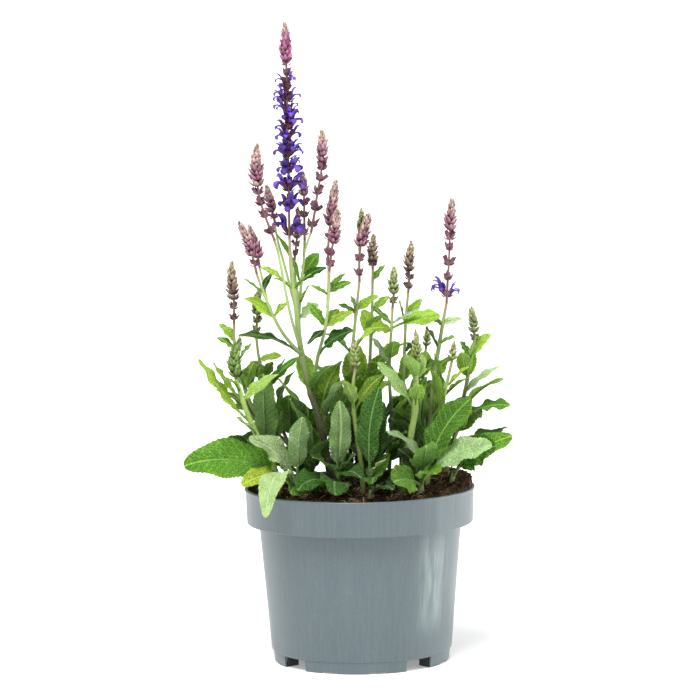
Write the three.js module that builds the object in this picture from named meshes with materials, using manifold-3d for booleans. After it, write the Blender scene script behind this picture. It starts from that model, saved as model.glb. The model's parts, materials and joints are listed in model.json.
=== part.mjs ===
// Perennial salvia in flower, in its grower's pot. Millimetres, +Z up, -Y is the front.
// The origin is the middle of the pot's underside, where it stands.
import * as THREE from 'three';
import Module from 'manifold-3d';
import { mergeVertices } from 'three/addons/utils/BufferGeometryUtils.js';

const wasm = await Module();
wasm.setup();

// ---- Driving dimensions -------------------------------------------------------------------

const RIM_RADIUS = 85; // a 17 cm pot
const RIM_HEIGHT = 129;
const BAND_HEIGHT = 26; // the wide collar below the rim
const BAND_FOOT_RADIUS = 83.5;
const WALL_TOP_RADIUS = 74.8;
const WALL_FOOT_RADIUS = 66.6;
const FOOT_HEIGHT = 9;
const FOOT_TOP_RADIUS = 65.6;
const FOOT_RADIUS = 64.5;
const POT_WALL = 1.6;
const POT_SIDES = 28;
const DISH_RADIUS = 12; // the middle of the floor comes down to stand on
const NOTCH_WIDTH = 23;
const NOTCH_ANGLES = [-140, -50, 40, 130]; // degrees from +X, gaps in the foot ring
const END_PLATE = 10; // how far each foot segment turns inward beside a notch
const DRAIN_RADIUS = 5;
const DRAIN_CENTRE = 47;

const GAP = 0.3; // between solids that touch
const SOIL_LEVEL = 125;
const SOIL_DOME = 3;
const SOIL_HEAP = 11; // the soil is heaped against the rim at the right
const SOIL_HEAP_ANGLE = 12;
const CROWN = 7; // a tuft's leaves leave its crown over this height
const HOLE_ROOM = 0.6; // round each stem in the soil
const STEM_SIDES = 4; // salvia stems are square
const STEM_STEP = 30;

const BLADE = 0.9; // leaf thickness
const STALK_HALF = 0.9;
const LARGE = 17.5; // the widths past which a blade gets more stations
const MEDIUM = 11;
const SCALLOP = 0.08; // how far an edge swings in and out, as a share of the half width
const WAVE = 0.05; // and up and down
const LEAF_ROOM = 2.5; // room kept round a leaf of another stem
const STEM_ROOM = 1.7;
const CELL = 1.5; // the grid on which that room is kept
const SAMPLE = 2.6; // spacing of the points that stand for a leaf

const Z = new THREE.Vector3(0, 0, 1);
const Y = new THREE.Vector3(0, 1, 0);
const rad = THREE.MathUtils.degToRad;
const v3 = (x, y, z) => new THREE.Vector3(x, y, z);

// ---- Solids -------------------------------------------------------------------------------

function solid(geometry) {
  const bare = geometry.index ? geometry.clone() : geometry;
  bare.deleteAttribute('normal');
  bare.deleteAttribute('uv');
  const merged = mergeVertices(bare, 1e-4);
  return new wasm.Manifold(new wasm.Mesh({
    numProp: 3,
    vertProperties: new Float32Array(merged.attributes.position.array),
    triVerts: new Uint32Array(merged.index.array),
  }));
}

function shape(manifold) {
  const mesh = manifold.getMesh();
  const geometry = new THREE.BufferGeometry();
  geometry.setAttribute('position', new THREE.BufferAttribute(mesh.vertProperties, 3));
  geometry.setIndex(new THREE.BufferAttribute(mesh.triVerts, 1));
  geometry.computeVertexNormals();
  return geometry;
}

// Joins rings of points into a closed skin. Rings run anticlockwise seen from the far end, and
// an end may be a single point. Where `blade` is set, the second half of each ring is the
// underside, split like the upper face.
function loft(rings, blade = false) {
  const starts = [];
  let total = 0;
  for (const ring of rings) {
    starts.push(total);
    total += ring.length;
  }
  const index = [];
  for (let i = 0; i < rings.length - 1; i += 1) {
    const [near, far] = [rings[i].length, rings[i + 1].length];
    const count = Math.max(near, far);
    for (let k = 0; k < count; k += 1) {
      const a = starts[i] + (k % near);
      const b = starts[i] + ((k + 1) % near);
      const c = starts[i + 1] + ((k + 1) % far);
      const d = starts[i + 1] + (k % far);
      if (near === 1) {
        index.push(a, c, d);
      } else if (far === 1) {
        index.push(a, b, c);
      } else if (blade && k >= count / 2) {
        index.push(a, b, d, b, c, d);
      } else {
        index.push(a, b, c, a, c, d);
      }
    }
  }
  for (const [ring, start, out] of [[rings[0], 0, false], [rings.at(-1), starts.at(-1), true]]) {
    for (let k = 1; k < ring.length - 1; k += 1) {
      index.push(start, ...(out ? [start + k, start + k + 1] : [start + k + 1, start + k]));
    }
  }
  const geometry = new THREE.BufferGeometry();
  const positions = rings.flat().flatMap((p) => [p.x, p.y, p.z]);
  geometry.setAttribute('position', new THREE.Float32BufferAttribute(positions, 3));
  geometry.setIndex(index);
  return geometry;
}

// The frame across a curve that never runs along Y.
function across(tangent) {
  const side = new THREE.Vector3().crossVectors(Y, tangent).normalize();
  const front = new THREE.Vector3().crossVectors(tangent, side).normalize();
  return { side, front };
}

function curveOf(points) {
  return new THREE.CatmullRomCurve3(points.map((p) => v3(...p)), false, 'catmullrom', 0.5);
}

// A ring of points round a curve: each spot is a distance from it and a rise above its place.
function ringAt(curve, t, spots, turn = 0) {
  const centre = curve.getPoint(t);
  const tangent = curve.getPoint(Math.min(t + 0.01, 1)).sub(curve.getPoint(Math.max(t - 0.01, 0)));
  const { side, front } = across(tangent.normalize());
  return spots.map(([radius, rise], k) => {
    const angle = rad(turn) + (2 * Math.PI * k) / spots.length;
    return centre.clone()
      .addScaledVector(side, radius * Math.cos(angle))
      .addScaledVector(front, radius * Math.sin(angle))
      .addScaledVector(Z, rise);
  });
}

function tube(curve, from, to, startRadius, endRadius, steps, sides = STEM_SIDES) {
  const rings = [];
  for (let i = 0; i <= steps; i += 1) {
    const t = from + ((to - from) * i) / steps;
    const radius = startRadius + ((endRadius - startRadius) * i) / steps;
    rings.push(ringAt(curve, t, Array(sides).fill([radius, 0]), 45));
  }
  return loft(rings);
}

// Where on a rising curve a height is reached, as a share of its length.
function shareAt(curve, height) {
  let low = 0;
  let high = 1;
  for (let i = 0; i < 40; i += 1) {
    const middle = (low + high) / 2;
    if (curve.getPoint(middle).z < height) {
      low = middle;
    } else {
      high = middle;
    }
  }
  return low;
}

function lathe(profile) {
  const points = profile.map(([r, z]) => new THREE.Vector2(r, z));
  const turned = new THREE.LatheGeometry(points, POT_SIDES);
  turned.rotateX(Math.PI / 2);
  return turned;
}

function prism(radius, height, sides, x, y, z) {
  const geometry = new THREE.CylinderGeometry(radius, radius, height, sides);
  geometry.rotateX(Math.PI / 2);
  geometry.translate(x, y, z);
  return geometry;
}

// ---- Pot and soil -------------------------------------------------------------------------

const BAND_FOOT = RIM_HEIGHT - BAND_HEIGHT;
const INNER = [
  [WALL_FOOT_RADIUS - POT_WALL, FOOT_HEIGHT + POT_WALL],
  [WALL_TOP_RADIUS - POT_WALL, BAND_FOOT + POT_WALL],
  [BAND_FOOT_RADIUS - POT_WALL, BAND_FOOT + POT_WALL],
  [RIM_RADIUS - POT_WALL, RIM_HEIGHT],
];

function pot() {
  const profile = [
    [0, 0],
    [DISH_RADIUS, 0],
    [DISH_RADIUS + 4, FOOT_HEIGHT],
    [FOOT_TOP_RADIUS - POT_WALL, FOOT_HEIGHT],
    [FOOT_RADIUS - POT_WALL, 0],
    [FOOT_RADIUS, 0],
    [FOOT_TOP_RADIUS, FOOT_HEIGHT],
    [WALL_FOOT_RADIUS, FOOT_HEIGHT + 0.6],
    [WALL_TOP_RADIUS, BAND_FOOT],
    [BAND_FOOT_RADIUS, BAND_FOOT],
    [RIM_RADIUS, RIM_HEIGHT],
    ...INNER.slice().reverse(),
    [DISH_RADIUS + 3, FOOT_HEIGHT + POT_WALL],
    [DISH_RADIUS - 1, POT_WALL],
    [0, POT_WALL],
  ];
  let body = solid(lathe(profile));
  for (const angle of NOTCH_ANGLES) {
    const notch = new THREE.BoxGeometry(30, NOTCH_WIDTH, FOOT_HEIGHT + 1);
    notch.translate(FOOT_RADIUS, 0, FOOT_HEIGHT / 2 - 1.2);
    notch.rotateZ(rad(angle));
    body = body.subtract(solid(notch));
    const drain = prism(DRAIN_RADIUS, 6, 10, DRAIN_CENTRE, 0, FOOT_HEIGHT + 1);
    drain.rotateZ(rad(angle));
    body = body.subtract(solid(drain));
    for (const side of [-1, 1]) {
      const plate = new THREE.BoxGeometry(END_PLATE, POT_WALL, FOOT_HEIGHT + 0.5);
      plate.translate(FOOT_RADIUS - 3.4 - END_PLATE / 2, 0, (FOOT_HEIGHT + 0.5) / 2);
      plate.translate(0, side * (NOTCH_WIDTH / 2 + POT_WALL / 2), 0);
      plate.rotateZ(rad(angle));
      body = body.add(solid(plate));
    }
  }
  return body;
}

function soilHeight(radius, angle) {
  const share = radius / RIM_RADIUS;
  const heap = Math.max(0, Math.cos(angle - rad(SOIL_HEAP_ANGLE))) ** 2;
  const hump = Math.max(0, 1 - ((share - 0.84) / 0.3) ** 2);
  return SOIL_LEVEL + SOIL_DOME * (1 - share * share) + SOIL_HEAP * heap * hump;
}

function soil() {
  const top = [79, 66, 36];
  const plug = INNER.map(([r, z]) => [r - GAP, z === RIM_HEIGHT ? SOIL_LEVEL - 1 : z + GAP]);
  plug[3][0] = INNER[3][0] - GAP - 0.3;
  const profile = [[0, plug[0][1]], ...plug, ...top.map((r) => [r, RIM_HEIGHT]), [0, RIM_HEIGHT]];
  const geometry = lathe(profile);
  const place = geometry.attributes.position;
  for (let i = 0; i < place.count; i += 1) {
    if (place.getZ(i) === RIM_HEIGHT) {
      const radius = Math.hypot(place.getX(i), place.getY(i));
      place.setZ(i, soilHeight(radius, Math.atan2(place.getY(i), place.getX(i))));
    }
  }
  return solid(geometry);
}

// ---- Stems --------------------------------------------------------------------------------
// Each stem: the node that it belongs to, its radius at the foot and at the top, and the
// points that it passes through, from the foot up. A stem that starts on another is fused to it.

const STEMS = {
  main: ['stem_main', 3.6, 1.7, [[-20, -4, 112], [-21, -4, 133], [-24, -4, 153], [-28, -3, 175],
    [-35, -2, 199], [-40, 0, 221], [-43, 0, 239], [-45, 0, 264], [-48, 0, 290], [-49, 0, 313]]],
  mainLeft: ['stem_main', 1.3, 1.0, [[-42, -1, 231], [-48, -6, 253], [-52, -9, 273],
    [-57, -11, 302], [-60, -12, 313]]],
  mainBehind: ['stem_main', 1.2, 0.9, [[-46, 1, 264], [-52, 8, 288], [-58, 12, 311],
    [-60, 13, 325]]],
  mainRight: ['stem_main', 1.4, 1.0, [[-42, 0, 234], [-43, 8, 253], [-41, 10, 279],
    [-39, 10, 294], [-38, 10, 311]]],
  mainRightTall: ['stem_main', 1.1, 0.9, [[-39, 10, 300], [-36, 8, 309], [-33, 8, 317]]],
  mainBack: ['stem_main', 1.1, 0.9, [[-42, 9, 262], [-45, 15, 279], [-46, 17, 294]]],
  lowLeft: ['stem_main', 1.5, 1.0, [[-41, -1, 227], [-52, -8, 240], [-60, -14, 254],
    [-68, -18, 274], [-73, -20, 289]]],
  lowLeftSide: ['stem_main', 1.1, 0.9, [[-66, -17, 270], [-69, -10, 283], [-71, -7, 292]]],
  lowRight: ['stem_main', 1.6, 1.1, [[-34, -2, 196], [-30, -3, 223], [-26, -5, 238],
    [-23, -6, 251], [-21, -7, 268], [-20, -8, 289]]],
  lowRightSide: ['stem_main', 1.1, 0.9, [[-22, -7, 262], [-21, 0, 281], [-21, 3, 297]]],
  centre: ['stem_centre', 2.2, 1.1, [[-6, 5, 112], [-6, 5, 140], [-7, 8, 166], [-7, 10, 192],
    [-5, 12, 220], [-1, 12, 255], [2, 12, 280]]],
  centreSide: ['stem_centre', 0.9, 0.8, [[-2, 12, 250], [2, 19, 283], [2, 21, 306],
    [3, 21, 315]]],
  back: ['stem_back', 2.0, 1.1, [[6, 25, 112], [6, 25, 140], [7, 28, 174], [9, 30, 219],
    [11, 32, 253], [12, 32, 287]]],
  inner: ['stem_right_inner', 2.0, 1.0, [[31, 15, 112], [31, 15, 138], [32, 20, 175],
    [34, 22, 212], [36, 22, 250], [38, 22, 270]]],
  middle: ['stem_middle', 2.0, 0.9, [[21, 0, 112], [22, 0, 139], [24, 5, 177], [23, 6, 214],
    [25, 6, 245], [26, 6, 260]]],
  tall: ['stem_right_tall', 2.4, 1.3, [[47, 5, 112], [48, 5, 140], [52, 8, 169], [56, 10, 206],
    [62, 10, 242], [66, 10, 263]]],
  far: ['stem_far_right', 2.1, 1.1, [[60, 10, 112], [64, 10, 137], [73, 12, 172],
    [80, 12, 202], [83, 12, 220], [86, 12, 231]]],
  left: ['stem_left', 2.1, 1.1, [[-49, 10, 112], [-52, 10, 134], [-67, 10, 163],
    [-81, 10, 193], [-88, 10, 219], [-91, 10, 237], [-91, 10, 250]]],
  leftBack: ['stem_left_back', 2.0, 1.1, [[-42, 24, 112], [-43, 24, 134], [-54, 22, 162],
    [-67, 19, 195], [-73, 17, 222], [-75, 16, 239]]],
  leftLow: ['stem_left_low', 3.1, 1.6, [[-58, -25, 112], [-61, -25, 142], [-71, -27, 163],
    [-80, -28, 184], [-85, -28, 199], [-89, -28, 213]]],
  young: ['stem_front_young', 2.0, 1.2, [[2, -26, 112], [2, -28, 140], [-2, -28, 174],
    [-4, -28, 193], [-4, -28, 207], [-2, -28, 220]]],
  youngRight: ['stem_right_young', 3.4, 1.6, [[30, -24, 112], [32, -25, 144], [37, -26, 166],
    [41, -26, 187], [42, -26, 207], [43, -26, 222]]],
  rightShoot: ['stem_right_leafy', 2.1, 1.2, [[50, -8, 112], [51, -8, 141], [59, -8, 178],
    [64, -8, 201], [69, -8, 222]]],
  backShoot: ['stem_back_leafy', 1.9, 1.0, [[38, 32, 112], [39, 32, 136], [45, 34, 174],
    [49, 34, 211], [51, 34, 228]]],
  tuftLeft: ['leaves_left', 4.2, 3.0, [[-66, -8, 113], [-67, -8, 124], [-68, -8, 134]]],
  tuftFrontLeft: ['leaves_front_left', 4.5, 3.2, [[-44, -32, 113], [-45, -34, 124],
    [-46, -36, 136]]],
  tuftFront: ['leaves_front', 4.5, 3.2, [[-16, -34, 113], [-16, -35, 124], [-16, -36, 136]]],
  tuftMiddle: ['leaves_front_middle', 4.2, 3.0, [[8, -52, 113], [8, -52, 124], [8, -52, 136]]],
  tuftFrontRight: ['leaves_front_right', 4.5, 3.2, [[44, -44, 114], [44, -44, 126],
    [45, -44, 140]]],
  tuftRight: ['leaves_right', 4.5, 3.2, [[66, -22, 116], [67, -22, 128], [68, -22, 142]]],
  tuftInnerLeft: ['leaves_inner_left', 4.2, 3.0, [[-36, -13, 113], [-36, -13, 124],
    [-36, -13, 136]]],
  tuftInnerMiddle: ['leaves_inner_middle', 4.2, 3.0, [[8, -13, 113], [8, -13, 124],
    [8, -13, 136]]],
  tuftInnerRight: ['leaves_inner_right', 4.2, 3.0, [[46, 19, 114], [46, 19, 126],
    [46, 19, 140]]],
  tuftBackRight: ['leaves_back_right', 4.2, 3.0, [[52, 44, 116], [52, 45, 128], [53, 45, 142]]],
  tuftBack: ['leaves_back', 4.4, 3.2, [[6, 54, 113], [6, 55, 124], [6, 56, 136]]],
  tuftBackLeft: ['leaves_back_left', 4.2, 3.0, [[-38, 46, 113], [-39, 47, 124],
    [-40, 48, 136]]],
};

const curves = {};
for (const [name, stem] of Object.entries(STEMS)) {
  curves[name] = curveOf(stem[3]);
}

// ---- Leaves -------------------------------------------------------------------------------
// A leaf: its stem, the height where it leaves the stem, its tip, its width, how far its upper
// face leans to the front in degrees, and its arch as a share of its length.
// Broad leaves have a long stalk and a blunt blade, narrow ones are almost stalkless.

const BROAD = [
  ['main', 226, [-87, -22, 246], 13, 20, 0.10],
  ['lowRight', 226, [-3, -14, 247], 15, 45, 0.10],
  ['middle', 245, [61, -2, 255], 15, 40, 0.06],
  ['middle', 216, [26, -12, 238], 12, 0, 0.10],
  ['tall', 228, [50, 2, 246], 11, 35, 0.10],
  ['rightShoot', 219, [72, -18, 243], 14, 60, 0.20],
  ['youngRight', 206, [38, -34, 234], 13, 10, 0.06],
  ['youngRight', 204, [49, -21, 230], 13, -10, 0.06],
  ['youngRight', 187, [14, -30, 224], 12, 50, 0.05],
  ['youngRight', 190, [43, -38, 213], 12, 0, 0.05],
  ['young', 186, [20, -25, 215], 13, 40, 0.08],
  ['young', 188, [-10, -38, 212], 12, 0, 0.06],
  ['young', 178, [11, -41, 200], 12, 30, 0.06],
  ['tuftMiddle', 134, [22, -46, 208], 20, 35, 0.05],
  ['tuftMiddle', 132, [8, -46, 201], 14, 20, 0.04],
  ['tuftFront', 134, [-14, -46, 199], 17, 0, 0.05],
  ['tuftFrontRight', 136, [82, -34, 199], 26, 35, 0.06],
  ['tuftRight', 138, [113, -6, 166], 20, 40, 0.12],
  ['tuftRight', 136, [100, -30, 161], 29, 55, 0.14],
  ['tuftFrontRight', 138, [88, -50, 178], 22, 45, 0.10],
  ['tuftFrontRight', 134, [24, -72, 143], 25, 55, 0.10],
  ['tuftMiddle', 136, [18, -66, 157], 14, 30, 0.14],
  ['tuftFrontRight', 138, [20, -50, 176], 14, 25, 0.20],
  ['far', 176, [112, 4, 187], 17, 15, 0.10],
  ['tuftFront', 132, [-18, -74, 134], 24, 20, 0.20],
  ['tuftFront', 136, [-34, -58, 160], 22, 25, 0.12],
  ['tuftFrontLeft', 134, [-41, -49, 188], 18, 10, 0.05],
  ['tuftFrontLeft', 134, [-80, -52, 174], 24, 50, 0.14],
  ['tuftLeft', 132, [-95, -26, 171], 18, 40, 0.14],
  ['tuftFrontLeft', 132, [-128, -44, 154], 31, 60, 0.14],
  ['tuftFrontLeft', 128, [-50, -72, 135], 17, 40, 0.14],
  ['tuftFrontLeft', 130, [-68, -92, 120], 19, 0, 0.38],
  ['tuftFront', 130, [-44, -70, 144], 21, 30, 0.16],
  ['main', 170, [-6, -34, 214], 14, 20, 0.08],
  ['leftLow', 180, [-116, -38, 231], 14, 35, -0.04],
  ['leftLow', 196, [-106, -24, 227], 11, 30, -0.03],
  ['leftLow', 170, [-92, -38, 192], 14, 20, 0.08],
  ['tuftLeft', 130, [-68, -10, 219], 21, 20, 0.03],
  ['tuftFrontRight', 138, [48, -70, 168], 22, 20, 0.12],
  ['tuftFront', 138, [-4, -58, 168], 20, 20, 0.10],
  ['tuftInnerMiddle', 134, [12, -30, 192], 22, 20, 0.08],
  ['tuftInnerLeft', 134, [-50, -32, 200], 22, 20, 0.08],
  ['tuftFrontLeft', 136, [-70, -46, 186], 20, 30, 0.10],
  ['tuftInnerLeft', 134, [-26, -28, 176], 22, 10, 0.10],
  ['tuftInnerRight', 138, [62, -6, 196], 24, 20, 0.08],
  ['tuftInnerMiddle', 134, [34, -22, 178], 22, 20, 0.12],
  ['tuftFront', 134, [8, -66, 146], 20, 20, 0.24],
  ['tuftFront', 136, [-30, -60, 174], 18, 40, 0.12],
  ['tuftMiddle', 134, [-8, -74, 150], 16, 20, 0.20],
  ['tuftMiddle', 135, [36, -64, 166], 16, 30, 0.16],
  ['tuftFrontLeft', 130, [-84, -64, 147], 18, 30, 0.20],
  ['tuftFrontRight', 134, [62, -68, 148], 20, 20, 0.20],
  ['tuftFrontRight', 136, [22, -30, 170], 20, 30, 0.12],
  ['tuftInnerMiddle', 136, [-14, -36, 178], 22, 10, 0.10],
  ['tuftInnerRight', 136, [26, -8, 192], 22, 20, 0.10],
];

const NARROW = [
  ['mainRight', 278, [-68, -12, 309], 8, 30, 0.05],
  ['mainRight', 280, [-22, 14, 291], 8, 40, 0.05],
  ['mainRight', 284, [-22, 28, 300], 11, 60, 0.05],
  ['mainLeft', 283, [-72, -20, 294], 7, 50, 0.05],
  ['mainRight', 253, [-28, -2, 264], 11, 60, 0.05],
  ['mainRight', 264, [-36, -4, 280], 7, 40, 0.05],
  ['lowLeft', 275, [-80, -26, 291], 5, 30, 0.02],
  ['lowLeft', 276, [-60, -14, 290], 5, 30, 0.02],
  ['lowLeft', 256, [-74, -27, 277], 12, 50, 0.05],
  ['lowLeft', 257, [-50, -24, 268], 9, 50, 0.05],
  ['lowRight', 248, [-35, -12, 269], 10, 60, 0.05],
  ['lowRight', 248, [-3, -10, 260], 10, 45, 0.05],
  ['lowRight', 250, [-11, 4, 262], 8, 40, 0.05],
  ['lowRight', 246, [-37, -16, 237], 7, 20, 0.05],
  ['lowRightSide', 273, [-4, -2, 281], 7, 50, 0.03],
  ['lowRight', 272, [-34, -10, 279], 5, 30, 0.02],
  ['lowRightSide', 275, [-5, 8, 287], 5, 30, 0.02],
  ['centre', 257, [-4, 3, 270], 7, 40, 0.05],
  ['centre', 256, [-12, 6, 267], 7, 40, 0.05],
  ['centre', 258, [16, 8, 270], 9, 50, 0.05],
  ['back', 255, [24, 28, 267], 8, 50, 0.05],
  ['back', 276, [8, 28, 292], 9, 50, 0.05],
  ['back', 278, [18, 34, 293], 6, 50, 0.05],
  ['middle', 248, [11, 10, 262], 6, 30, 0.02],
  ['middle', 249, [47, 2, 260], 6, 30, 0.02],
  ['middle', 244, [9, -6, 246], 11, 50, 0.05],
  ['middle', 218, [17, 2, 242], 9, 30, 0.02],
  ['inner', 226, [46, 14, 235], 9, 40, 0.05],
  ['inner', 246, [32, 16, 267], 8, 50, 0.05],
  ['inner', 248, [45, 20, 268], 8, 50, 0.05],
  ['tall', 247, [54, 2, 252], 8, 40, 0.05],
  ['tall', 248, [75, 4, 255], 8, 40, 0.05],
  ['tall', 233, [72, 2, 239], 6, 30, 0.05],
  ['rightShoot', 196, [56, -14, 230], 10, 20, 0.02],
  ['rightShoot', 199, [66, -2, 232], 10, 20, 0.02],
  ['rightShoot', 203, [77, -12, 223], 9, 20, 0.02],
  ['rightShoot', 184, [57, -18, 218], 11, 20, 0.05],
  ['youngRight', 188, [55, -16, 210], 10, 20, 0.05],
  ['young', 207, [4, -32, 224], 10, 60, 0.05],
  ['young', 208, [-9, -26, 220], 8, 60, 0.05],
  ['far', 196, [105, 10, 216], 9, 30, 0.05],
  ['far', 219, [77, 8, 236], 10, 50, 0.05],
  ['far', 221, [93, 4, 244], 7, 50, 0.05],
  ['far', 222, [99, 18, 240], 9, 50, 0.05],
  ['leftLow', 197, [-58, -34, 217], 11, 50, 0.05],
  ['leftLow', 203, [-101, -36, 214], 7, 40, 0.10],
  ['left', 230, [-104, 4, 240], 8, 40, 0.10],
  ['left', 236, [-99, 8, 252], 9, 50, 0.10],
  ['left', 222, [-78, 2, 236], 8, 40, 0.05],
  ['leftBack', 222, [-56, 8, 226], 9, 40, 0.05],
  ['leftBack', 196, [-56, 8, 226], 10, 40, 0.05],
  ['leftBack', 200, [-46, 16, 226], 9, 40, 0.05],
  ['left', 196, [-70, 0, 224], 10, 40, 0.05],
];

// The rest stand in crossed pairs up each stem. Each entry: stem, turn of the lowest pair,
// its height, the top of the leafy part, the distance between pairs, and the leaf's length
// and width at the bottom and at the top.
const PAIRED = [
  ['main', 120, 150, 204, 24, [66, 25], [40, 15]],
  ['main', 60, 246, 290, 28, [28, 10], [20, 7]],
  ['centre', 70, 148, 232, 26, [66, 25], [28, 12]],
  ['back', 20, 152, 240, 28, [66, 24], [28, 12]],
  ['inner', 60, 150, 212, 26, [60, 23], [34, 13]],
  ['middle', 100, 150, 206, 26, [58, 22], [34, 13]],
  ['tall', 40, 152, 222, 26, [60, 22], [30, 12]],
  ['far', 80, 156, 206, 25, [56, 20], [30, 12]],
  ['left', 60, 150, 212, 25, [58, 22], [28, 11]],
  ['leftBack', 120, 152, 220, 26, [60, 22], [28, 11]],
  ['backShoot', 90, 152, 210, 26, [54, 20], [28, 12]],
];

// Tufts of ground leaves spread round their crown: stem, first direction, step, how many,
// length, width, and the rise of the first and the last in degrees.
const SPREAD = [
  ['tuftInnerLeft', 200, 75, 5, 82, 28, 44, 74],
  ['tuftInnerMiddle', 250, 75, 5, 84, 28, 46, 74],
  ['tuftInnerRight', 300, 75, 5, 80, 27, 44, 74],
  ['tuftLeft', 150, 70, 4, 66, 25, 24, 66],
  ['tuftFrontLeft', 60, 80, 3, 64, 26, 50, 68],
  ['tuftFront', 40, 100, 3, 60, 24, 50, 70],
  ['tuftMiddle', 300, 90, 2, 44, 19, 30, 60],
  ['tuftFrontRight', 60, 90, 3, 64, 25, 46, 68],
  ['tuftRight', 60, 70, 3, 66, 25, 34, 68],
  ['tuftBack', 60, 62, 6, 80, 28, 20, 70],
  ['tuftBackLeft', 130, 66, 5, 76, 27, 16, 70],
  ['tuftBackRight', 20, 66, 5, 74, 27, 18, 70],
  ['tuftInnerLeft', 230, 62, 3, 52, 21, 12, 24],
  ['tuftInnerMiddle', 215, 56, 4, 50, 21, 12, 28],
  ['tuftBack', 235, 40, 3, 52, 22, 14, 30],
  ['tuftInnerRight', 240, 60, 3, 50, 21, 14, 26],
];

// A seeded draw, so that the plant always grows the same.
let seed = 20240611;
function draw() {
  seed = (Math.imul(seed, 1664525) + 1013904223) >>> 0;
  return seed / 4294967296;
}

const shares = (count) => Array.from({ length: count + 1 }, (_, i) => i / count);

// The half width of a blade along its length: full near a third, blunt or pointed at the tip.
function halfWidth(leaf, s) {
  const [swell, fullness] = leaf.broad ? [0.86, 0.52] : [0.76, 0.66];
  return (leaf.width / 2) * Math.sin(Math.PI * Math.min(1, Math.max(0, s)) ** swell) ** fullness;
}

// The place of the midrib and the directions across and out of the blade, at a share of the
// whole leaf from its stem to its tip.
function midrib(leaf, t) {
  const chord = leaf.tip.clone().sub(leaf.root);
  const flat = Math.hypot(chord.x, chord.y) || 1;
  const side = v3(chord.y / flat, -chord.x / flat, 0);
  const lift = new THREE.Vector3().crossVectors(side, chord);
  const bend = leaf.root.clone().add(leaf.tip).multiplyScalar(0.5).addScaledVector(lift, leaf.arch * 2);
  const place = leaf.root.clone().multiplyScalar((1 - t) ** 2)
    .addScaledVector(bend, 2 * t * (1 - t)).addScaledVector(leaf.tip, t * t);
  const along = bend.clone().sub(leaf.root).multiplyScalar(1 - t)
    .addScaledVector(leaf.tip.clone().sub(bend), t).normalize();
  const up = new THREE.Vector3().crossVectors(side, along);
  const roll = rad(leaf.lean) * (chord.x < 0 ? -1 : 1);
  const width = side.clone().multiplyScalar(Math.cos(roll)).addScaledVector(up, -Math.sin(roll));
  const normal = up.multiplyScalar(Math.cos(roll)).addScaledVector(side, Math.sin(roll));
  return { place, width, normal };
}

function stalkShare(leaf) {
  return leaf.broad ? 0.26 : 0.08;
}

// Points spread over a leaf that stand for it when room is looked for.
function leafPoints(leaf) {
  const points = [];
  const length = leaf.root.distanceTo(leaf.tip);
  const steps = Math.ceil(length / SAMPLE);
  for (let i = 1; i <= steps; i += 1) {
    const t = i / steps;
    const { place, width } = midrib(leaf, t);
    const half = halfWidth(leaf, (t - stalkShare(leaf)) / (1 - stalkShare(leaf)));
    const lanes = Math.ceil(half / SAMPLE);
    for (let lane = -lanes; lane <= lanes; lane += 1) {
      const off = lanes ? (half * lane) / lanes : 0;
      points.push([place.clone().addScaledVector(width, off), t]);
    }
  }
  return points;
}

// ---- Room ---------------------------------------------------------------------------------
// A grid remembers what is near each place, so that a leaf is turned clear of the others before
// it is made. A place holds the number of its node, plus a hundred for each leaf's own turn, the
// bare number of the node where several of its pieces meet, or MIXED where nodes meet.

const MIXED = -1;
const LEAF_STEP = 100;
const STALK_REACH = 0.3; // this share of a leaf may touch the other pieces of its own node
const taken = new Map();
const cell = (value) => Math.floor((value + 1000.37) / CELL);
const keyOf = (x, y, z) => (x * 4096 + y) * 4096 + z;

function claim(point, reach, owner) {
  const span = Math.ceil(reach / CELL);
  const [cx, cy, cz] = [cell(point.x), cell(point.y), cell(point.z)];
  for (let i = -span; i <= span; i += 1) {
    for (let j = -span; j <= span; j += 1) {
      for (let k = -span; k <= span; k += 1) {
        if ((i * i + j * j + k * k) * CELL * CELL <= reach * reach) {
          const key = keyOf(cx + i, cy + j, cz + k);
          const before = taken.get(key) ?? owner;
          const same = before % LEAF_STEP === owner % LEAF_STEP;
          taken.set(key, before === owner ? owner : same ? owner % LEAF_STEP : MIXED);
        }
      }
    }
  }
}

function isFree(point, owner, atStalk) {
  const radius = Math.hypot(point.x, point.y);
  if (radius < RIM_RADIUS + 2.6 && point.z < RIM_HEIGHT + 2.2) {
    const overSoil = soilHeight(radius, Math.atan2(point.y, point.x)) + 2.0;
    if (radius > RIM_RADIUS - 6 || point.z < overSoil) {
      return false;
    }
  }
  const holder = taken.get(keyOf(cell(point.x), cell(point.y), cell(point.z)));
  return holder === undefined || (atStalk && holder % LEAF_STEP === owner);
}

const owners = [...new Set(Object.values(STEMS).map((stem) => stem[0]))];
const ownerOf = (stem) => owners.indexOf(STEMS[stem][0]);

for (const [name, stem] of Object.entries(STEMS)) {
  for (const t of shares(60)) {
    const radius = stem[1] + (stem[2] - stem[1]) * t;
    claim(curves[name].getPoint(t), radius + STEM_ROOM, ownerOf(name));
  }
}

// The turns tried for a leaf, the smallest first: sideways, up, and a shorter blade.
const TURNS = [];
for (const size of [1, 0.88, 0.74]) {
  for (const up of [0, 7, -7, 14, -14, 22, 30]) {
    for (const aside of [0, 8, -8, 16, -16, 26, -26, 38, -38]) {
      TURNS.push([aside, up, size, Math.abs(aside) + Math.abs(up) * 1.2 + (1 - size) * 160]);
    }
  }
}
TURNS.sort((a, b) => a[3] - b[3]);

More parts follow.
